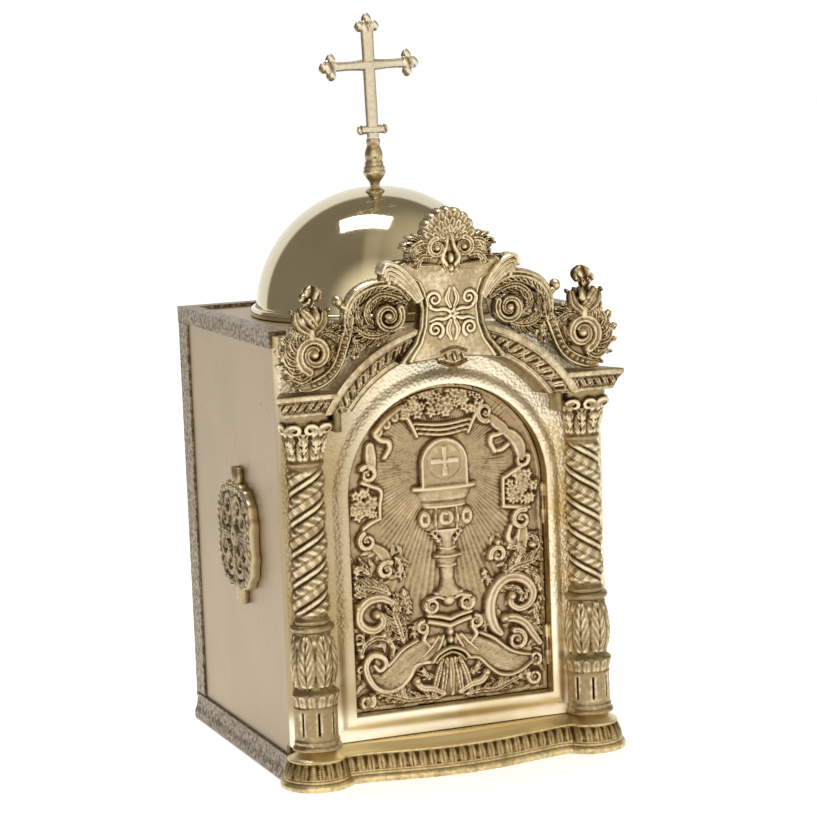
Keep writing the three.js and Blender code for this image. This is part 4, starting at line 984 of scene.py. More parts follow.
def block_rings(side):
    """A cornice block: for each x the section climbs the fillets and the sloped leaf face, and its
    back runs along the plate and then comes forward to the tapering end."""
    x = np.linspace(CORNICE_INNER, CORNICE_HALF, 130)[:, None]
    levels = [(8.1, 0), (7.9, 2.2), (7.0, 2.8)]
    levels += [(7.2 - 4.6 * t, 3.2 + 10.4 * t) for t in np.linspace(0, 1, 22)]
    levels += [(1.6, 14.0), (0.6, 14.6), (0, 15.4), (0, 18.4), (0.5, 19.1)]
    inset = np.array([a for a, _ in levels])[None, :]
    z = CORNICE_BOTTOM + np.array([b for _, b in levels])[None, :]
    share = ramp((z - CORNICE_BOTTOM - 3.4) / 10)
    band = (share > 0) & (share < 1)
    relief = 2.6 * running_leaf(x, share, 7.5) * band
    end = np.minimum(x, CORNICE_HALF - inset)
    front = CORNICE_FRONT + inset - relief * ramp((CORNICE_HALF - inset - x) / 3)
    shape = points_of(side * end, front, z)
    last = end[:, [-1, 0]]
    beyond = ramp(last, 156, CORNICE_HALF - 156)
    behind = np.maximum(CORNICE_BACK - beyond * 28, front[:, [-1, 0]] + 0.2)
    rear = points_of(side * last, behind, np.array([[CORNICE_TOP, CORNICE_BOTTOM]]))
    return closed_behind(shape, leafed_tone(relief, band), rear, 0.4)


def arch_rings():
    """The arch: a moulded section swept round its centre, with the running leaf on its sloped band."""
    section = [(112, CORNICE_BACK), (112.6, -20), (113.6, -24), (115, -29), (117, -32.8), (118.6, -33.6),
               (119.8, -34.4), (121, -33.6)]
    section += [(121.4 + 13.2 * t, -33.8 - 6.6 * t) for t in np.linspace(0, 1, 22)]
    section += [(135.4, -41.0), (136, -42.2), (137, -42.5), (140, -42.5), (141, -42.0), (141, CORNICE_BACK)]
    radius = np.array([r for r, _ in section])[None, :]
    spring = np.arcsin((CORNICE_BOTTOM + 0.6 - ARCH_CENTRE) / radius)
    angle = spring + (math.pi - 2 * spring) * np.linspace(0, 1, 330)[:, None]
    depth = np.array([y for _, y in section])[None, :]
    share = ramp(radius, 121.6, 13)
    band = (share > 0) & (share < 1)
    relief = 2.8 * running_leaf(angle * 128, share, 9.0) * band
    shape = points_of(radius * np.cos(angle), depth - relief, ARCH_CENTRE + radius * np.sin(angle))
    # The inner mouldings under the arch's overhang (radius under 117.5) are made darker: painted shade on
    # the soffit.
    tone = leafed_tone(relief, band) - 0.3 * (radius < 117.5)
    return shape, np.broadcast_to(tone, relief.shape)


def plain_block(low, high):
    """A plain bevelled block between two corners."""
    (x0, y0, z0), (x1, y1, z1) = low, high
    cut = 0.6
    loops = []
    for z, inward in ((z0, cut), (z0 + cut, 0), (z1 - cut, 0), (z1, cut)):
        loops.append([(x0 + inward, y0 + inward, z), (x1 - inward, y0 + inward, z),
                      (x1 - inward, y1, z), (x0 + inward, y1, z)])
    # Tone 0.42, darker than the fillets: painted shade for the springers behind the arch.
    return np.array(loops, float), np.full((4, 4), 0.42)


# The springers sit behind the ends of the arch; plain_block gives them a darker tone, painted shade.
springers = [plain_block((low, -31, 321), (high, CORNICE_BACK, 355))
             for low, high in ((104.5, 110.7), (-110.7, -104.5))]
cornice = cast_mesh("leafed_cornice", old_gold, [arch_rings(), block_rings(1), block_rings(-1), *springers])
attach(cornice, "case")
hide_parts("arched_cornice")


# Crest scrolls: each side is one pierced casting, an S of two beaded straps that end in leafy
# volutes, with a two-bud finial over the outer one.
CREST_MIDDLE = -37.0
VOLUTE_X = 131.0


def swept_leaf(line, thick, front=CREST_MIDDLE, sides=16, ribs=0.0):
    """A strap or leaf swept along a line of [x, z, half width]: the section is an oval, pinched along
    its midrib, and ribs let its thickness wave along its length."""
    line = np.asarray(line, float)
    way = np.gradient(line[:, :2], axis=0)
    way /= np.maximum(np.hypot(way[:, 0], way[:, 1]), 1e-9)[:, None]
    across = np.stack([-way[:, 1], way[:, 0]], 1)
    along = np.concatenate([[0], np.cumsum(np.hypot(*np.diff(line[:, :2], axis=0).T))])[:, None]
    turn = np.linspace(0, 2 * math.pi, sides, endpoint=False)[None, :]
    wide = np.cos(turn)
    deep = np.sin(turn)
    crown = 1 - 0.42 * peak(wide, 0.3) * (deep < 0)
    crown = crown + ribs * np.cos(2 * math.pi * (along / 4.2 + 0.5 * abs(wide))) * (deep < 0)
    half = line[:, 2:3]
    taper = np.clip(half / half.max(), 0.35, 1)
    shape = points_of(line[:, :1] + across[:, :1] * half * wide,
                      front + thick * deep * crown * np.where(deep < 0, taper, 0.75),
                      line[:, 1:2] + across[:, 1:2] * half * wide)
    # Tone: bright along the front, dark on the sides, on the back and along the pinched midrib: painted
    # shade of the strap's own round.
    tone = ramp(0.06 + 0.78 * ramp(-deep) ** 1.5 * crown)
    return shape, tone


def acanthus(line, thick, lobes, reach):
    """A leafy strap: a swept midrib and short blunt lobes that leave its sides forward, in pairs from
    its foot to its tip, each about reach millimetres long."""
    parts = [swept_leaf(line, thick)]
    for share in np.linspace(0.05, 0.93, lobes):
        k = min(int(share * (len(line) - 1)), len(line) - 2)
        way = line[k + 1, :2] - line[k, :2]
        way = way / max(np.hypot(*way), 1e-9)
        for side in (1, -1):
            across = np.array([-way[1], way[0]]) * side
            base = line[k, :2] + across * line[k, 2] * 0.4
            span = reach * (0.7 + 0.3 * line[k, 2] / line[:, 2].max())
            middle = base + way * span * 0.5 + across * span * 0.45
            tip = base + way * span * 1.0 + across * span * 0.55
            lobe = [[*base, span * 0.3], [*middle, span * 0.4], [*tip, span * 0.2]]
            parts.append(swept_leaf(smooth_line(lobe, 5), thick * 0.86, sides=12, ribs=0.1))
    return parts


def bud(x, y, z, radius, tall, lobes):
    """A round bud of leaves: a ball whose radius waves with its angle and closes at its tip."""
    t = np.linspace(0.06, math.pi - 0.06, 18)[:, None]
    angle = np.linspace(0, 2 * math.pi, 26, endpoint=False)[None, :]
    wave = 1 + 0.2 * np.cos(lobes * angle + 1.5 * t) + 0.07 * np.cos(3 * lobes * angle - 2 * t)
    reach = radius * np.sin(t) * wave / 1.18
    shape = points_of(x + reach * np.cos(angle), y + reach * np.sin(angle), z - tall * np.cos(t))
    # Tone: darker in the creases between the lobes, painted shade.
    return shape, ramp(0.45 + (wave - 1) * 2.2)


def cut_relief(x, z, height, back, front):
    """An openwork casting as one closed skin, from a grid of heights: only cells whose four corners
    carry metal are kept, their front stands the height before a plane, their back is flat, and walls
    close the outline, whose points are drawn onto the smoothed edge of the metal."""
    cover = soften((height > 0.7).astype(float), 1)
    metal = cover > 0.45
    cell = metal[:-1, :-1] & metal[1:, :-1] & metal[:-1, 1:] & metal[1:, 1:]
    for _ in range(3):
        down = cell[:-1, :-1] & cell[1:, 1:] & ~cell[1:, :-1] & ~cell[:-1, 1:]
        cell[1:, :-1] |= down
        up = cell[1:, :-1] & cell[:-1, 1:] & ~cell[:-1, :-1] & ~cell[1:, 1:]
        cell[:-1, :-1] |= up
    rows, cols = height.shape
    index = np.arange(rows * cols).reshape(rows, cols)
    quads = np.stack([index[:-1, :-1], index[:-1, 1:], index[1:, 1:], index[1:, :-1]], -1)[cell]
    edges = np.concatenate([quads[:, [0, 1]], quads[:, [1, 2]], quads[:, [2, 3]], quads[:, [3, 0]]])
    code = edges[:, 0] * (rows * cols) + edges[:, 1]
    back_code = edges[:, 1] * (rows * cols) + edges[:, 0]
    rim = edges[~np.isin(code, back_code)]
    step = x[0, 1] - x[0, 0]
    slope_z, slope_x = np.gradient(cover, step)
    steep = np.maximum(slope_x**2 + slope_z**2, 0.02)
    pull = np.clip((cover - 0.45) / steep, -step / np.sqrt(steep), step / np.sqrt(steep))
    on_rim = np.zeros(rows * cols, bool)
    on_rim[rim.reshape(-1)] = True
    moved = on_rim.reshape(rows, cols)
    way = np.hypot(slope_x, slope_z) + 1e-9
    shift = np.clip(pull * way, -0.7 * step, 0.7 * step) * moved
    px, pz = x - shift * slope_x / way, z - shift * slope_z / way
    # Tone: darker in the hollows and along the foot of each form, which is painted shade with browning; the
    # flat back and the walls of the openings get a dark 0.25, painted shade.
    tone = ramp(0.04 + exposure(height, 4, 2.6) * 0.34 + exposure(height, 1, 0.8) * 0.36
                   + ramp(height / height.max()) * 0.3)
    face = np.stack([px, front - np.maximum(height, 0.5), pz], -1).reshape(-1, 3)
    rear = np.stack([px, np.full_like(px, back), pz], -1).reshape(-1, 3)
    used = np.unique(quads)
    place = np.full(rows * cols, -1)
    place[used] = np.arange(len(used))
    fronts = place[quads]
    backs = place[quads][:, ::-1] + len(used)
    walls = np.stack([place[rim[:, 1]], place[rim[:, 0]], place[rim[:, 0]] + len(used),
                      place[rim[:, 1]] + len(used)], 1)
    points = np.vstack([face[used], rear[used]])
    tones = np.concatenate([tone.reshape(-1)[used], np.full(len(used), 0.25)])
    return points, np.vstack([fronts, backs, walls]), tones


def relief_piece(name, material, skin, parts, side=1):
    """One piece of a cut relief, mirrored for the left side, and of further closed skins."""
    points, faces, tones = closed_skins(parts)
    cut_points, cut_faces, cut_tones = skin
    added = (cut_faces[:, ::-1] if side < 0 else cut_faces) + len(points)
    return smooth_piece(name, material, np.vstack([points, cut_points * [side, 1, 1]]),
                        faces + added.tolist(), np.concatenate([tones, cut_tones]))


def relief_grid(low_x, high_x, low_z, high_z, step):
    """Points over a rectangle of the x and z plane, one every step millimetres."""
    return np.meshgrid(np.arange(low_x, high_x, step), np.arange(low_z, high_z, step))


def crest_relief(x, z):
    """Height of one side of the crest over its back, drawn for the right side: the upper leafy strap
    with its inner volute, the beaded strap, and the outer volute with the leaf behind it."""
    h = np.zeros_like(x)
    draw, leaf, boss = pens(h, x, z)
    draw([[44, 430, 7], [50, 418, 9], [62, 409, 7], [74, 409, 5]], 2.6)
    draw([[62, 438, 6], [76, 434, 6], [86, 422, 6]], 2.6)
    draw([[112, 405, 8], [114, 392, 8], [118, 380, 8], [130, 372, 8]], 2.8)
    leaf([[39, 436, 5], [47, 446, 6.5], [60, 451, 7], [74, 449.5, 7], [87, 443, 6.6], [95.5, 433, 6],
          [98.5, 420, 5]], 9.4, 11, 1.15, (-1,))
    draw([[44, 443, 3.4], [58, 450.5, 4.4], [74, 450, 4.6], [88, 444, 4.4], [96.5, 433, 4], [99, 420, 3.6],
          [97, 409, 3.4]], 9.6, groove=0.4)
    leaf([[41, 432, 4], [53, 439, 5], [66, 441, 5.4], [77, 434, 5], [80, 424, 4],
          [77, 416, 2.6]], 8.2, 8, 1.2, (-1,))
    press(h, x, z, spiral(58.5, 421, 2.6, 1.4, 13.5, 4, 4.4, 2.6), 9.8, 0.3)
    boss(58.5, 421, 4.2, 4.2, 10.2)
    leaf([[58, 408, 4], [69, 404.5, 5], [81, 406, 5], [91, 414, 3.6]], 8.8, 6, 1.4)
    leaf([[84, 417, 3], [88, 424, 4], [86, 432, 2.6]], 7.6, 3, 1.3)
    leaf([[92, 404, 3], [90, 397, 4], [94, 389, 2.6]], 7.4, 3, 1.2)
    boss(105, 438, 4.4, 5.2, 8.6)
    draw([[97, 430, 3.4], [102, 434, 3]], 7.6)
    draw([[95.5, 420, 5], [98, 409, 5.4], [102, 398, 5.4], [106, 387, 5.4], [112, 377, 5.6],
          [122, 369.5, 6], [134, 365, 5.4], [142, 364, 4]], 9.6, dish=0.45)
    bead_line = smooth_line([[97, 413, 1], [102, 398, 1], [106, 387, 1], [112, 377, 1], [122, 369.5, 1],
                             [132, 366, 1]], 2)
    for bx, bz, _ in bead_line:
        boss(bx, bz, 2.3, 2.3, 10.6)
    leaf([[127, 409, 4], [116, 412, 5], [104, 406, 3.6]], 8.6, 5, 1.3)
    leaf([[112, 399, 3], [114, 391, 4], [120, 384, 2.6]], 6.8, 4, 1.2)
    press(h, x, z, spiral(129.5, 393, -1.2, 1.55, 16, 4.5, 6.2, 3.4), 10.4, 0.25)
    boss(129.5, 393, 5, 5, 10.8)
    for step in range(8):
        angle = -1.35 + step * 0.4
        c, n = math.cos(angle), math.sin(angle)
        bent_c, bent_n = math.cos(angle + 0.32), math.sin(angle + 0.32)
        tip_c, tip_n = math.cos(angle + 0.72), math.sin(angle + 0.72)
        leaf([[130 + 17 * c, 391 + 17 * n, 4.6], [130 + 25 * bent_c, 391 + 24 * bent_n, 5.6],
              [130 + 29 * tip_c, 391 + 26.5 * tip_n, 4.0]], 9.4 - 0.9 * (step % 2), 2, 0.85)
    draw([[131, 408, 5.4], [132, 416, 5.2], [132.5, 422, 4.6]], 9)
    return h * (z > 357.9)


crest_x, crest_z = relief_grid(36.0, 168.0, 357.7, 462.0, 0.62)
crest_height = crest_relief(crest_x, crest_z)
crest_skin = cut_relief(crest_x, crest_z, crest_height, CREST_MIDDLE + 5.6, CREST_MIDDLE + 4.2)


def finial_parts(side):
    """The finial: a leafy bud, a knot and an upper bud with its leaf."""
    balls = ((1.5, 0, 426, 10.5, 10.5, 4), (1.5, 0, 438, 5.5, 5, 4), (-1, 0, 447, 8.6, 7.4, 4),
             (6, -1, 443, 5.6, 4.6, 3), (-5, -3, 444, 4.6, 4.0, 3), (2, -5, 440, 4.2, 3.4, 3))
    parts = [bud(VOLUTE_X + x, CREST_MIDDLE + y, *rest) for x, y, *rest in balls]
    for lean in (-1, 1):
        leaf = smooth_line([[VOLUTE_X + 2 * lean, 413, 5], [VOLUTE_X + 1 + 11 * lean, 421, 5.6],
                            [VOLUTE_X + 1 + 13 * lean, 431, 3.6]], 6)
        parts += acanthus(leaf, 6.4, 3, 5.0)
    leaf = smooth_line([[VOLUTE_X - 4, 441, 3.6], [VOLUTE_X - 7, 447, 4.2], [VOLUTE_X - 2, 452, 3]], 6)
    parts.append(swept_leaf(leaf, 8, ribs=0.1))
    leaf = smooth_line([[VOLUTE_X - 2, 418, 4], [VOLUTE_X + 4, 426, 5], [VOLUTE_X + 10, 433, 3]], 6)
    parts.append(swept_leaf(leaf, 6, CREST_MIDDLE - 6, ribs=0.12))
    if side < 0:
        parts = [(shape * [-1, 1, 1], tone) for shape, tone in parts]
    return parts


for name, side in (("right_scroll", 1), ("left_scroll", -1)):
    scroll = relief_piece(name + "_leaves", old_gold, crest_skin, finial_parts(side), side)
    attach(scroll, "case")
    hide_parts(name)


# Shield: one casting that bulges forward, its two sides rolled over, with curled strokes on its
# field, an oval rosette below and a palmette of two eyes and a fan above.
SHIELD_BACK = -31.0
SHIELD_FRONT = -44.0
SHIELD_CENTRE = 420.5


def shield_rings():
    """The shield field: for each height a half width, a bow across it, rolled edges, and low curled
    strokes pressed into its middle."""
    marks = np.array([[377.5, 50], [380, 52], [386, 47], [396, 38], [410, 32], [425, 30], [440, 32.5],
                      [450, 38], [456, 50], [461, 60], [466, 61], [471, 50]])
    level = np.linspace(377.5, 471, 150)[:, None]
    half = np.interp(level, marks[:, 0], marks[:, 1])
    across = np.linspace(-1, 1, 150)[None, :]
    x = half * across
    low = np.interp(abs(x), [0, 11, 19, 30, 44, 52], [390, 390, 384, 379.5, 377.5, 379])
    high = np.interp(abs(x), [0, 24, 36, 44, 52, 61], [459, 459, 463, 469, 471, 467])
    z = np.clip(level + 0 * x, low, high)
    h = 3.2 * np.cos(across * math.pi / 2) ** 0.8 + 0 * level
    h += 3.4 * peak(abs(across) - 0.93, 0.07)
    h += 1.2 * peak(abs(across) - 0.78, 0.03)
    strokes = np.zeros_like(x)
    for side in (1, -1):
        for hub, turn in ((407, -1), (434, 1)):
            start = math.pi / 2 - side * turn * 2.6
            curl = spiral(side * 16.5, hub, start, side * turn * 1.4, 7.6, 1.6, 2.0, 1.2)
            press(strokes, x, z, curl, 2.0)
            stalk = [[side * 4, SHIELD_CENTRE + turn * 3, 1.8], [side * 9, SHIELD_CENTRE + turn * 4.5, 2.0],
                     [side * 15, SHIELD_CENTRE + turn * 4, 1.6], [side * 21, SHIELD_CENTRE + turn * 6, 1.2]]
            press(strokes, x, z, smooth_line(stalk), 2.0)
        for turn in (-1, 1):
            leaf = [[side * 2, SHIELD_CENTRE + turn * 6, 1.8], [side * 5, SHIELD_CENTRE + turn * 14, 2.6],
                    [side * 2, SHIELD_CENTRE + turn * 23, 1.2]]
            press(strokes, x, z, smooth_line(leaf), 2.1, groove=0.4)
    spin = np.arctan2(z - SHIELD_CENTRE, x)
    bloom = np.hypot(x, z - SHIELD_CENTRE) / (5.6 + 1.8 * np.cos(5 * spin))
    np.maximum(strokes, 2.4 * bulge(bloom) * (1 - 0.6 * peak(bloom, 0.3)),
               out=strokes)
    h = h + strokes
    shape = points_of(x, SHIELD_FRONT + 3.0 - h, z)
    # Tone: darker in the hollows among the strokes and over the outer part of the rolled edges, which turns
    # back: painted shade.
    tone = ramp(0.6 + (h - soften(h, 3)) / 1.5) - 0.25 * np.clip(abs(across) - 0.8, 0, 0.06) / 0.06
    return closed_behind(shape, tone, flat_back(shape, SHIELD_BACK))


def crown_relief(x, z):
    """Height of the shield's upper part over its back: the two rolled ears with their four ridges,
    and the palmette of eyes, wings, hanging tassel and a fan of lobes in three frilled tiers."""
    h = np.zeros_like(x)
    draw, leaf, boss = pens(h, x, z, (1, -1))
    draw([[30, 446, 6], [42, 456, 8], [54, 459, 7], [61, 456, 5]], 4.2)
    for step in range(4):
        draw([[29 + step, 436 - step, 2.2], [35 + step * 1.6, 449 - step * 2.2, 2.6],
              [44 + step * 1.6, 460 - step * 3.2, 2.8], [54 + step, 467 - step * 3.8, 2.8],
              [62 - step * 1.2, 467.5 - step * 4, 2.6], [65.5 - step * 2.4, 461 - step * 3.2, 2.2]],
             10.6 - 1.2 * step, groove=0.15)
    boss(52, 453, 4.4, 4.4, 7)
    draw([[8, 470, 8], [22, 474, 8], [32, 474, 5]], 3.4)
    draw([[0, 466, 5], [0, 480, 9], [0, 490, 12], [0, 498, 12]], 4.2)
    for count, reach, half, rise in ((9, 21.0, 5.2, 7.6), (8, 14.5, 4.4, 9.2), (5, 8.5, 3.4, 10.2)):
        for step in range(count):
            angle = math.pi / 2 + (step / (count - 1) - 0.5) * 3.0
            c, n = math.cos(angle), math.sin(angle)
            bend = 1.6 if step % 2 else -1.2
            lobe = [[3 * c, 484 + 3 * n, 2.0],
                    [reach * 0.6 * c - bend * n, 487 + reach * 0.6 * n, half * 0.8],
                    [reach * c, 490.5 + reach * 0.93 * n, half]]
            press(h, x, z, smooth_line(lobe), rise, groove=0.3)
            for side in (1, -1):
                frill = smooth_line([[reach * 0.7 * c, 488 + reach * 0.68 * n, half * 0.5],
                                     [reach * 0.92 * c - side * half * 0.8 * n,
                                      490 + reach * 0.86 * n + side * half * 0.8 * c, half * 0.42]], 3)
                press(h, x, z, frill, rise * 0.94, groove=0.2)
    for side in (1, -1):
        press(h, x, z, spiral(side * 13, 479.5, 1.57, -side * 1.3, 8.6, 2.6, 3.8, 2.2), 10.4, 0.25)
    leaf([[19, 485, 3.6], [29, 485, 5], [39, 479, 3.2]], 8.8, 4, 1.25)
    leaf([[17, 472, 3.6], [27, 473, 5], [35, 466, 3.2]], 8.6, 4, 1.25)
    leaf([[21, 479, 3], [29, 478, 4], [35, 474, 2.6]], 7.8, 3, 1.2)
    draw([[2, 490, 2.6], [4, 480, 3], [8, 471, 3.4], [4, 464, 3]], 9)
    leaf([[6, 474, 2.6], [7, 466, 3.4], [3, 458, 2.4]], 9.4, 3, 1.1)
    boss(13, 479.5, 3.4, 3.4, 11)
    boss(0, 470, 3.4, 6, 10.4)
    boss(0, 461, 3.2, 4.6, 9.8)
    boss(0, 456, 2.6, 3, 9)
    return h


crown_x, crown_z = relief_grid(-69.0, 69.2, 430.0, 516.0, 0.62)
crown_height = crown_relief(crown_x, crown_z)
crown_skin = cut_relief(crown_x, crown_z, crown_height, SHIELD_BACK - 0.6, SHIELD_FRONT + 5.4)
rosette = [swept_leaf(smooth_line([[-14, 382, 4], [0, 381, 8.4], [14, 382, 4]], 8), 6.0, -39.5, ribs=0.1),
           swept_leaf(smooth_line([[-13, 386, 2], [0, 390, 2.2], [13, 386, 2]], 8), 6.0, -40.5),
           swept_leaf(smooth_line([[-13, 377.5, 2], [0, 373.5, 2.2], [13, 377.5, 2]], 8), 6.0, -40.5),
           bud(0, -43.4, 381.6, 4.6, 4.6, 5), bud(-7.5, -42.6, 381.8, 3.2, 3.4, 3),
           bud(7.5, -42.6, 381.8, 3.2, 3.4, 3)]
pale_gold = cast_brass(
    "pale_gold", (0.86, 0.755, 0.55, 1), (0.40, 0.31, 0.175, 1), (0.08, 0.045, 0.018, 1), 0.27, 0.45
)
shield = relief_piece("rolled_shield", pale_gold, crown_skin, [shield_rings(), *rosette])
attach(shield, "case")
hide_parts("crest_shield")


# Side medallions: thick castings with a plain bright edge and a darker carved face of scrolls round a
# boss, each held by a lug above and one below.
MEDALLION_Y = 108.0
MEDALLION_Z = 212.0
MEDALLION_HALF = 56.5
FACE_RINGS = 70


def medallion_parts(side):
    """The medallion: rings from the wall out to the face and in to the middle, the face carved with
    curls and leaves by the same pressed lines as the door."""
    angle = np.linspace(0, 2 * math.pi, 200, endpoint=False)[None, :]
    notch = peak(np.sin(angle), 0.14)
    lobed = 0.95 + 0.05 * np.cos(4 * angle - math.pi) - 0.05 * notch + 0.016 * np.cos(20 * angle)
    edge = np.array([[0.97, 0.3], [0.985, 1.2], [0.985, 8.4], [0.97, 9.6], [0.955, 9.8]])
    face = np.linspace(0.94, 0.02, FACE_RINGS)
    share = np.concatenate([edge[:, 0], face])[:, None]
    out = np.concatenate([edge[:, 1], np.full(FACE_RINGS, 8.2)])[:, None] + 0 * angle
    y = MEDALLION_HALF * lobed * share * np.cos(angle)
    z = MEDALLION_HALF * lobed * share * np.sin(angle)
    h = np.zeros_like(y)
    for turn in range(4):
        c, s = math.cos(turn * math.pi / 2), math.sin(turn * math.pi / 2)
        about = np.array([[c, s, 0], [-s, c, 0], [0, 0, 1]])
        for way in (1, -1):
            curl = spiral(26, 14 * way, -way * 1.0, way * 1.2, 12, 3, 3.4, 1.8)
            press(h, y, z, curl @ about, 4.2, groove=0.2)
        press_leaf(h, y, z, smooth_line([[12, 0, 4], [30, 0, 5.4], [48, 0, 3]]) @ about, 4.6, 5, 1.2)
        press_leaf(h, y, z, smooth_line([[18, 18, 3], [28, 28, 4.4], [35, 35, 2.6]]) @ about, 4.4, 4, 1.2)
    border = ramp(share, 0.8, 0.05) * ramp(share, 0.95, -0.02)
    h = np.maximum(h, border * (2.4 + 1.6 * abs(np.sin(22 * angle))))
    press_dome(h, y, z, 0, 0, 11, 11, 5.2, 0.4)
    press_dome(h, y, z, 0, 0, 4, 4, 5.4)
    on_face = (share < 0.95) & (share > 0)
    out = out + np.where(on_face, 0.78 * h - 0.6, 0)
    shape = points_of(side * (156 + out), MEDALLION_Y + y, MEDALLION_Z + z)
    # Tone: the carved face is darker in its hollows, painted shade with browning; the plain edge is bright.
    tone = np.where(on_face, 0.16 + 0.5 * exposure(h, 3, 2.0) + ramp(h / 5.2) * 0.24, 0.85)
    parts = [(shape, tone)]
    for low, high in ((MEDALLION_Z + 38, MEDALLION_Z + 64), (MEDALLION_Z - 64, MEDALLION_Z - 38)):
        block, _ = plain_block((156.3, MEDALLION_Y - 8.5, low), (163, MEDALLION_Y + 8.5, high))
        parts.append((block * [side, 1, 1], 0.7))
    return parts


carved = cast_brass(
    "carved_brass", (0.50, 0.405, 0.25, 1), (0.21, 0.155, 0.08, 1), (0.05, 0.03, 0.014, 1), 0.30, 0.5
)
for name, side in (("left_medallion", -1), ("right_medallion", 1)):
    medallion = cast_mesh(name + "_carved", carved, medallion_parts(side))
    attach(medallion, "case")
    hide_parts(name)


# Hinges: turned pins in cast rings at the right edge of the door, dull brass with cloudy dark patches.
def hinge_brass():
    """Dull brass with cloudy dark patches."""
    material, tree, shader, place = finish_tree("hinge_brass")
    clouds = noise(place, 90.0, 4.0)
    skin = noise(place, 500.0, 3.0)
    colour = clouds.step(0.35, 0.65).mix((0.30, 0.20, 0.09, 1), (0.74, 0.60, 0.34, 1))
    set_metal(tree, shader, colour, 0.38 + clouds * 0.15, skin, 0.0002)
    return material


hinge = hinge_brass()
for part in ("lower_hinge_bracket", "lower_hinge_pin", "upper_hinge_bracket", "upper_hinge_pin"):
    dress(part, hinge)


# Dome, ring, knop and cross: the dome is spun thin and polished to a mirror, its ring and knop are
# turned, and the cross is a flat budded casting that leans slightly to the left.
DOME_RADIUS = 117.8
DOME_Y = 139.6
DOME_FOOT = 408.3
DOME_STEPS = 144
DOME_WALL = 2.2
RING_RADIUS = 123.0
RING_THICK = 2.6
RING_TALL = 8.5
KNOP_FOOT = 526.4
CROSS_FOOT = 571.0
CROSS_ARM = 68.5
CROSS_LEAN = 0.02
BUD_FLATNESS = 0.62


def turned_rings(profile, y, count, foot=0.0):
    """A profile of [radius, height] pairs turned about an upright axis at y, in count steps."""
    profile = np.asarray(profile, float)
    angle = np.linspace(0, 2 * math.pi, count, endpoint=False)[None, :]
    radius = profile[:, :1]
    return points_of(radius * np.cos(angle), y + radius * np.sin(angle), foot + profile[:, 1:2])


def polished_brass():
    """Mirror brass: a faint haze, fine wiping marks and a few dull specks."""
    material, tree, shader, place = finish_tree("polished_brass")
    haze = noise(place, 14.0, 3.0)
    specks = noise(place, 240.0, 2.0).step(0.7, 0.8)
    colour = haze.step(0.3, 0.7).mix((0.62, 0.545, 0.36, 1), (0.70, 0.62, 0.42, 1))
    colour = (specks * 0.3).mix(colour, (0.3, 0.22, 0.1, 1))
    set_metal(tree, shader, colour, 0.05 + haze * 0.05 + specks * 0.12, haze, 0.00004)
    return material


polished = polished_brass()
bow = np.linspace(0.004, math.pi / 2, 60)
outer = np.stack([DOME_RADIUS * np.sin(bow), DOME_RADIUS * np.cos(bow)], 1)
inner = outer[::-1] * (DOME_RADIUS - DOME_WALL) / DOME_RADIUS
dome_rings = turned_rings(np.vstack([outer, inner]), DOME_Y, DOME_STEPS, DOME_FOOT)
shell = cast_mesh("polished_dome", polished, [(dome_rings, 0.6)])
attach(shell, "case")
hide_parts("dome")

bend = np.linspace(-math.pi / 2, math.pi / 2, 14)
section = np.stack([RING_RADIUS - RING_THICK + RING_THICK * np.cos(bend),
                    RING_TALL / 2 + RING_TALL / 2 * np.sin(bend)], 1)
section = np.vstack([[DOME_RADIUS + 0.3, 0.0], section, [DOME_RADIUS + 0.3, RING_TALL]])
loops = turned_rings(section, DOME_Y, DOME_STEPS, DOME_FOOT)
ring = ring_mesh("round_dome_ring", polished, loops.transpose(1, 0, 2), 0.6)
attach(ring, "case")
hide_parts("dome_ring")

marks = [[0.2, 0], [4.6, 0], [4.9, 2.6], [6.8, 5.4], [9.2, 8.4], [10.6, 11.4], [10.9, 13.6], [9.8, 15],
         [10.3, 16.6], [9.4, 18.4], [8.7, 19.2], [9.1, 20.8], [8.3, 22.6], [7.7, 23.6], [8.4, 26],
         [8.7, 29], [8.1, 32.4], [6.9, 35.6], [5.9, 37.6], [6.5, 39.2], [6.7, 41.2], [6.2, 44.4],
         [0.2, 44.4]]
turning = cast_mesh("turned_knop", old_gold, [(turned_rings(marks, DOME_Y, 48, KNOP_FOOT), 0.62)])
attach(turning, "case")
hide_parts("knop")


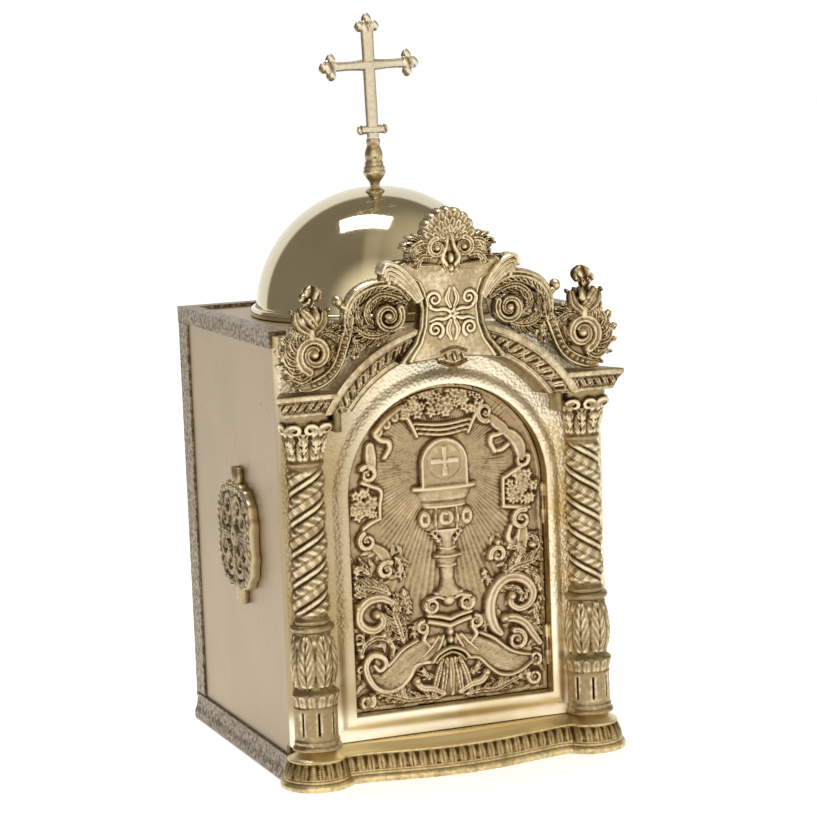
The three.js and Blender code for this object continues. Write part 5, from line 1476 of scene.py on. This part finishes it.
def cross_parts():
    """The cross in its own flat plane and then leaned: tapered bars with a raised midrib, three buds
    to each end and a small guard, each a swept oval."""
    def bar(marks, thick):
        return swept_leaf(smooth_line(marks, 6), thick, 0.0, sides=14)

    arm = ((-42, 4.8), (-20, 4.2), (0, 5.4), (20, 4.2), (42, 4.8))
    parts = [bar([[0, 0.5, 5.8], [0, 30, 6.0], [0, 68, 6.0], [0, 106, 6.4]], 4.4),
             bar([[a, CROSS_ARM, b] for a, b in arm], 4.2),
             bar([[-11, 8, 3.6], [0, 8, 4.4], [11, 8, 3.6]], 4.2)]
    large = ((-11.5, 8, 4.6), (11.5, 8, 4.6), (0, 103.5, 7.6), (39, CROSS_ARM, 7.6), (-39, CROSS_ARM, 7.6))
    small = ((0, 111.8, 5.5), (-7.6, 104.8, 5.2), (7.6, 104.8, 5.2), (45, CROSS_ARM, 5.5), (38, 76, 5.4),
             (38, 61, 5.4), (-45, CROSS_ARM, 5.5), (-38, 76, 5.4), (-38, 61, 5.4))
    for buds, lobes in ((large, 4), (small, 2)):
        for x, z, radius in buds:
            shape, tone = bud(x, 0, z, radius, radius, lobes)
            parts.append((shape * [1, BUD_FLATNESS, 1], tone))
    placed = []
    for shape, tone in parts:
        x = shape[..., 0] * math.cos(CROSS_LEAN) - shape[..., 2] * math.sin(CROSS_LEAN)
        z = shape[..., 0] * math.sin(CROSS_LEAN) + shape[..., 2] * math.cos(CROSS_LEAN)
        placed.append((np.stack([x, shape[..., 1] + DOME_Y, z + CROSS_FOOT], -1), tone))
    return placed


bright_brass = cast_brass(
    "bright_brass", (0.74, 0.68, 0.57, 1), (0.52, 0.45, 0.33, 1), (0.24, 0.17, 0.09, 1), 0.16
)
budded = cast_mesh("budded_cross", bright_brass, cross_parts())
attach(budded, "case")
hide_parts("cross")


# Floor and studio: a pale ground, a bright surround that is darker behind the camera, as a room is,
# with a glow on either hand of the camera, and one soft lamp overhead.
floor_mesh = bpy.data.meshes.new("floor")
reach = 12.0
floor_mesh.from_pydata([(-reach, -reach, 0), (reach, -reach, 0), (reach, reach, 0), (-reach, reach, 0)], [],
                       [(0, 1, 2, 3)])
floor = bpy.data.objects.new("floor", floor_mesh)
bpy.context.scene.collection.objects.link(floor)
pale = bpy.data.materials.new("pale_floor")
pale.use_nodes = True
ground = pale.node_tree.nodes["Principled BSDF"].inputs
ground["Base Color"].default_value = (0.9, 0.9, 0.9, 1)
ground["Roughness"].default_value = 0.9
ground["Emission Color"].default_value = (1, 1, 1, 1)
ground["Emission Strength"].default_value = 0.6
floor.data.materials.append(pale)

world = bpy.data.worlds.new("studio")
bpy.context.scene.world = world
world.use_nodes = True
surround = Field(world.node_tree, world.node_tree.nodes.new("ShaderNodeTexCoord").outputs["Generated"])


def towards(x, y, z):
    """How far a direction of the surround points to a fixed one: 1 straight to it, -1 away from it."""
    values = {0: surround, 1: (x, y, z)}
    return surround.node("ShaderNodeVectorMath", {"operation": "DOT_PRODUCT"}, values, output=1)


# The side that the camera looks from, the window on the right, the pale wall behind the camera, the
# light from the upper right and the way across the picture.
room = towards(-0.36, -0.92, 0.14)
window = towards(0.58, -0.81, -0.06)
key = towards(-0.33, -0.93, 0.10)
lift = towards(0.55, -0.45, 0.70)
sideways = towards(0.86, -0.51, 0.0)
streak = (1 - sideways.math("ABSOLUTE", sideways).step(0.05, 0.16)) * room.step(0.1, 0.4)
shade = room.step(-0.66, -0.58).mix((1, 1, 1, 1), (0.26, 0.235, 0.19, 1))
shade = (streak * 0.3).mix(shade, (0.95, 0.88, 0.7, 1))
shade = window.step(0.50, 1.0).mix(shade, (1.5, 1.42, 1.25, 1))
shade = key.step(0.60, 1.0).mix(shade, (1.6, 1.5, 1.32, 1))
shade = lift.step(0.60, 1.0).mix(shade, (0.66, 0.61, 0.48, 1))
world.node_tree.links.new(shade.socket, world.node_tree.nodes["Background"].inputs["Color"])
world.node_tree.nodes["Background"].inputs["Strength"].default_value = 1.0


def soft_lamp(name, place, target, across, wide, tall, power):
    """A soft oblong lamp at a place in metres, facing a target, with its wide side along a direction."""
    data = bpy.data.lights.new(name, "AREA")
    data.shape = "RECTANGLE"
    data.size = wide
    data.size_y = tall
    data.energy = power
    lamp = bpy.data.objects.new(name, data)
    bpy.context.scene.collection.objects.link(lamp)
    back = (Vector(place) - Vector(target)).normalized()
    right = (Vector(across) - back * back.dot(Vector(across))).normalized()
    turn = Matrix([right, back.cross(right), back]).transposed().to_4x4()
    lamp.matrix_world = Matrix.Translation(place) @ turn


soft_lamp("top_lamp", (-0.2, 0.27, 2.6), (0, 0, 0.3), (0.86, -0.51, 0.0), 1.3, 0.6, 24)
bpy.context.scene.view_settings.view_transform = "Standard"
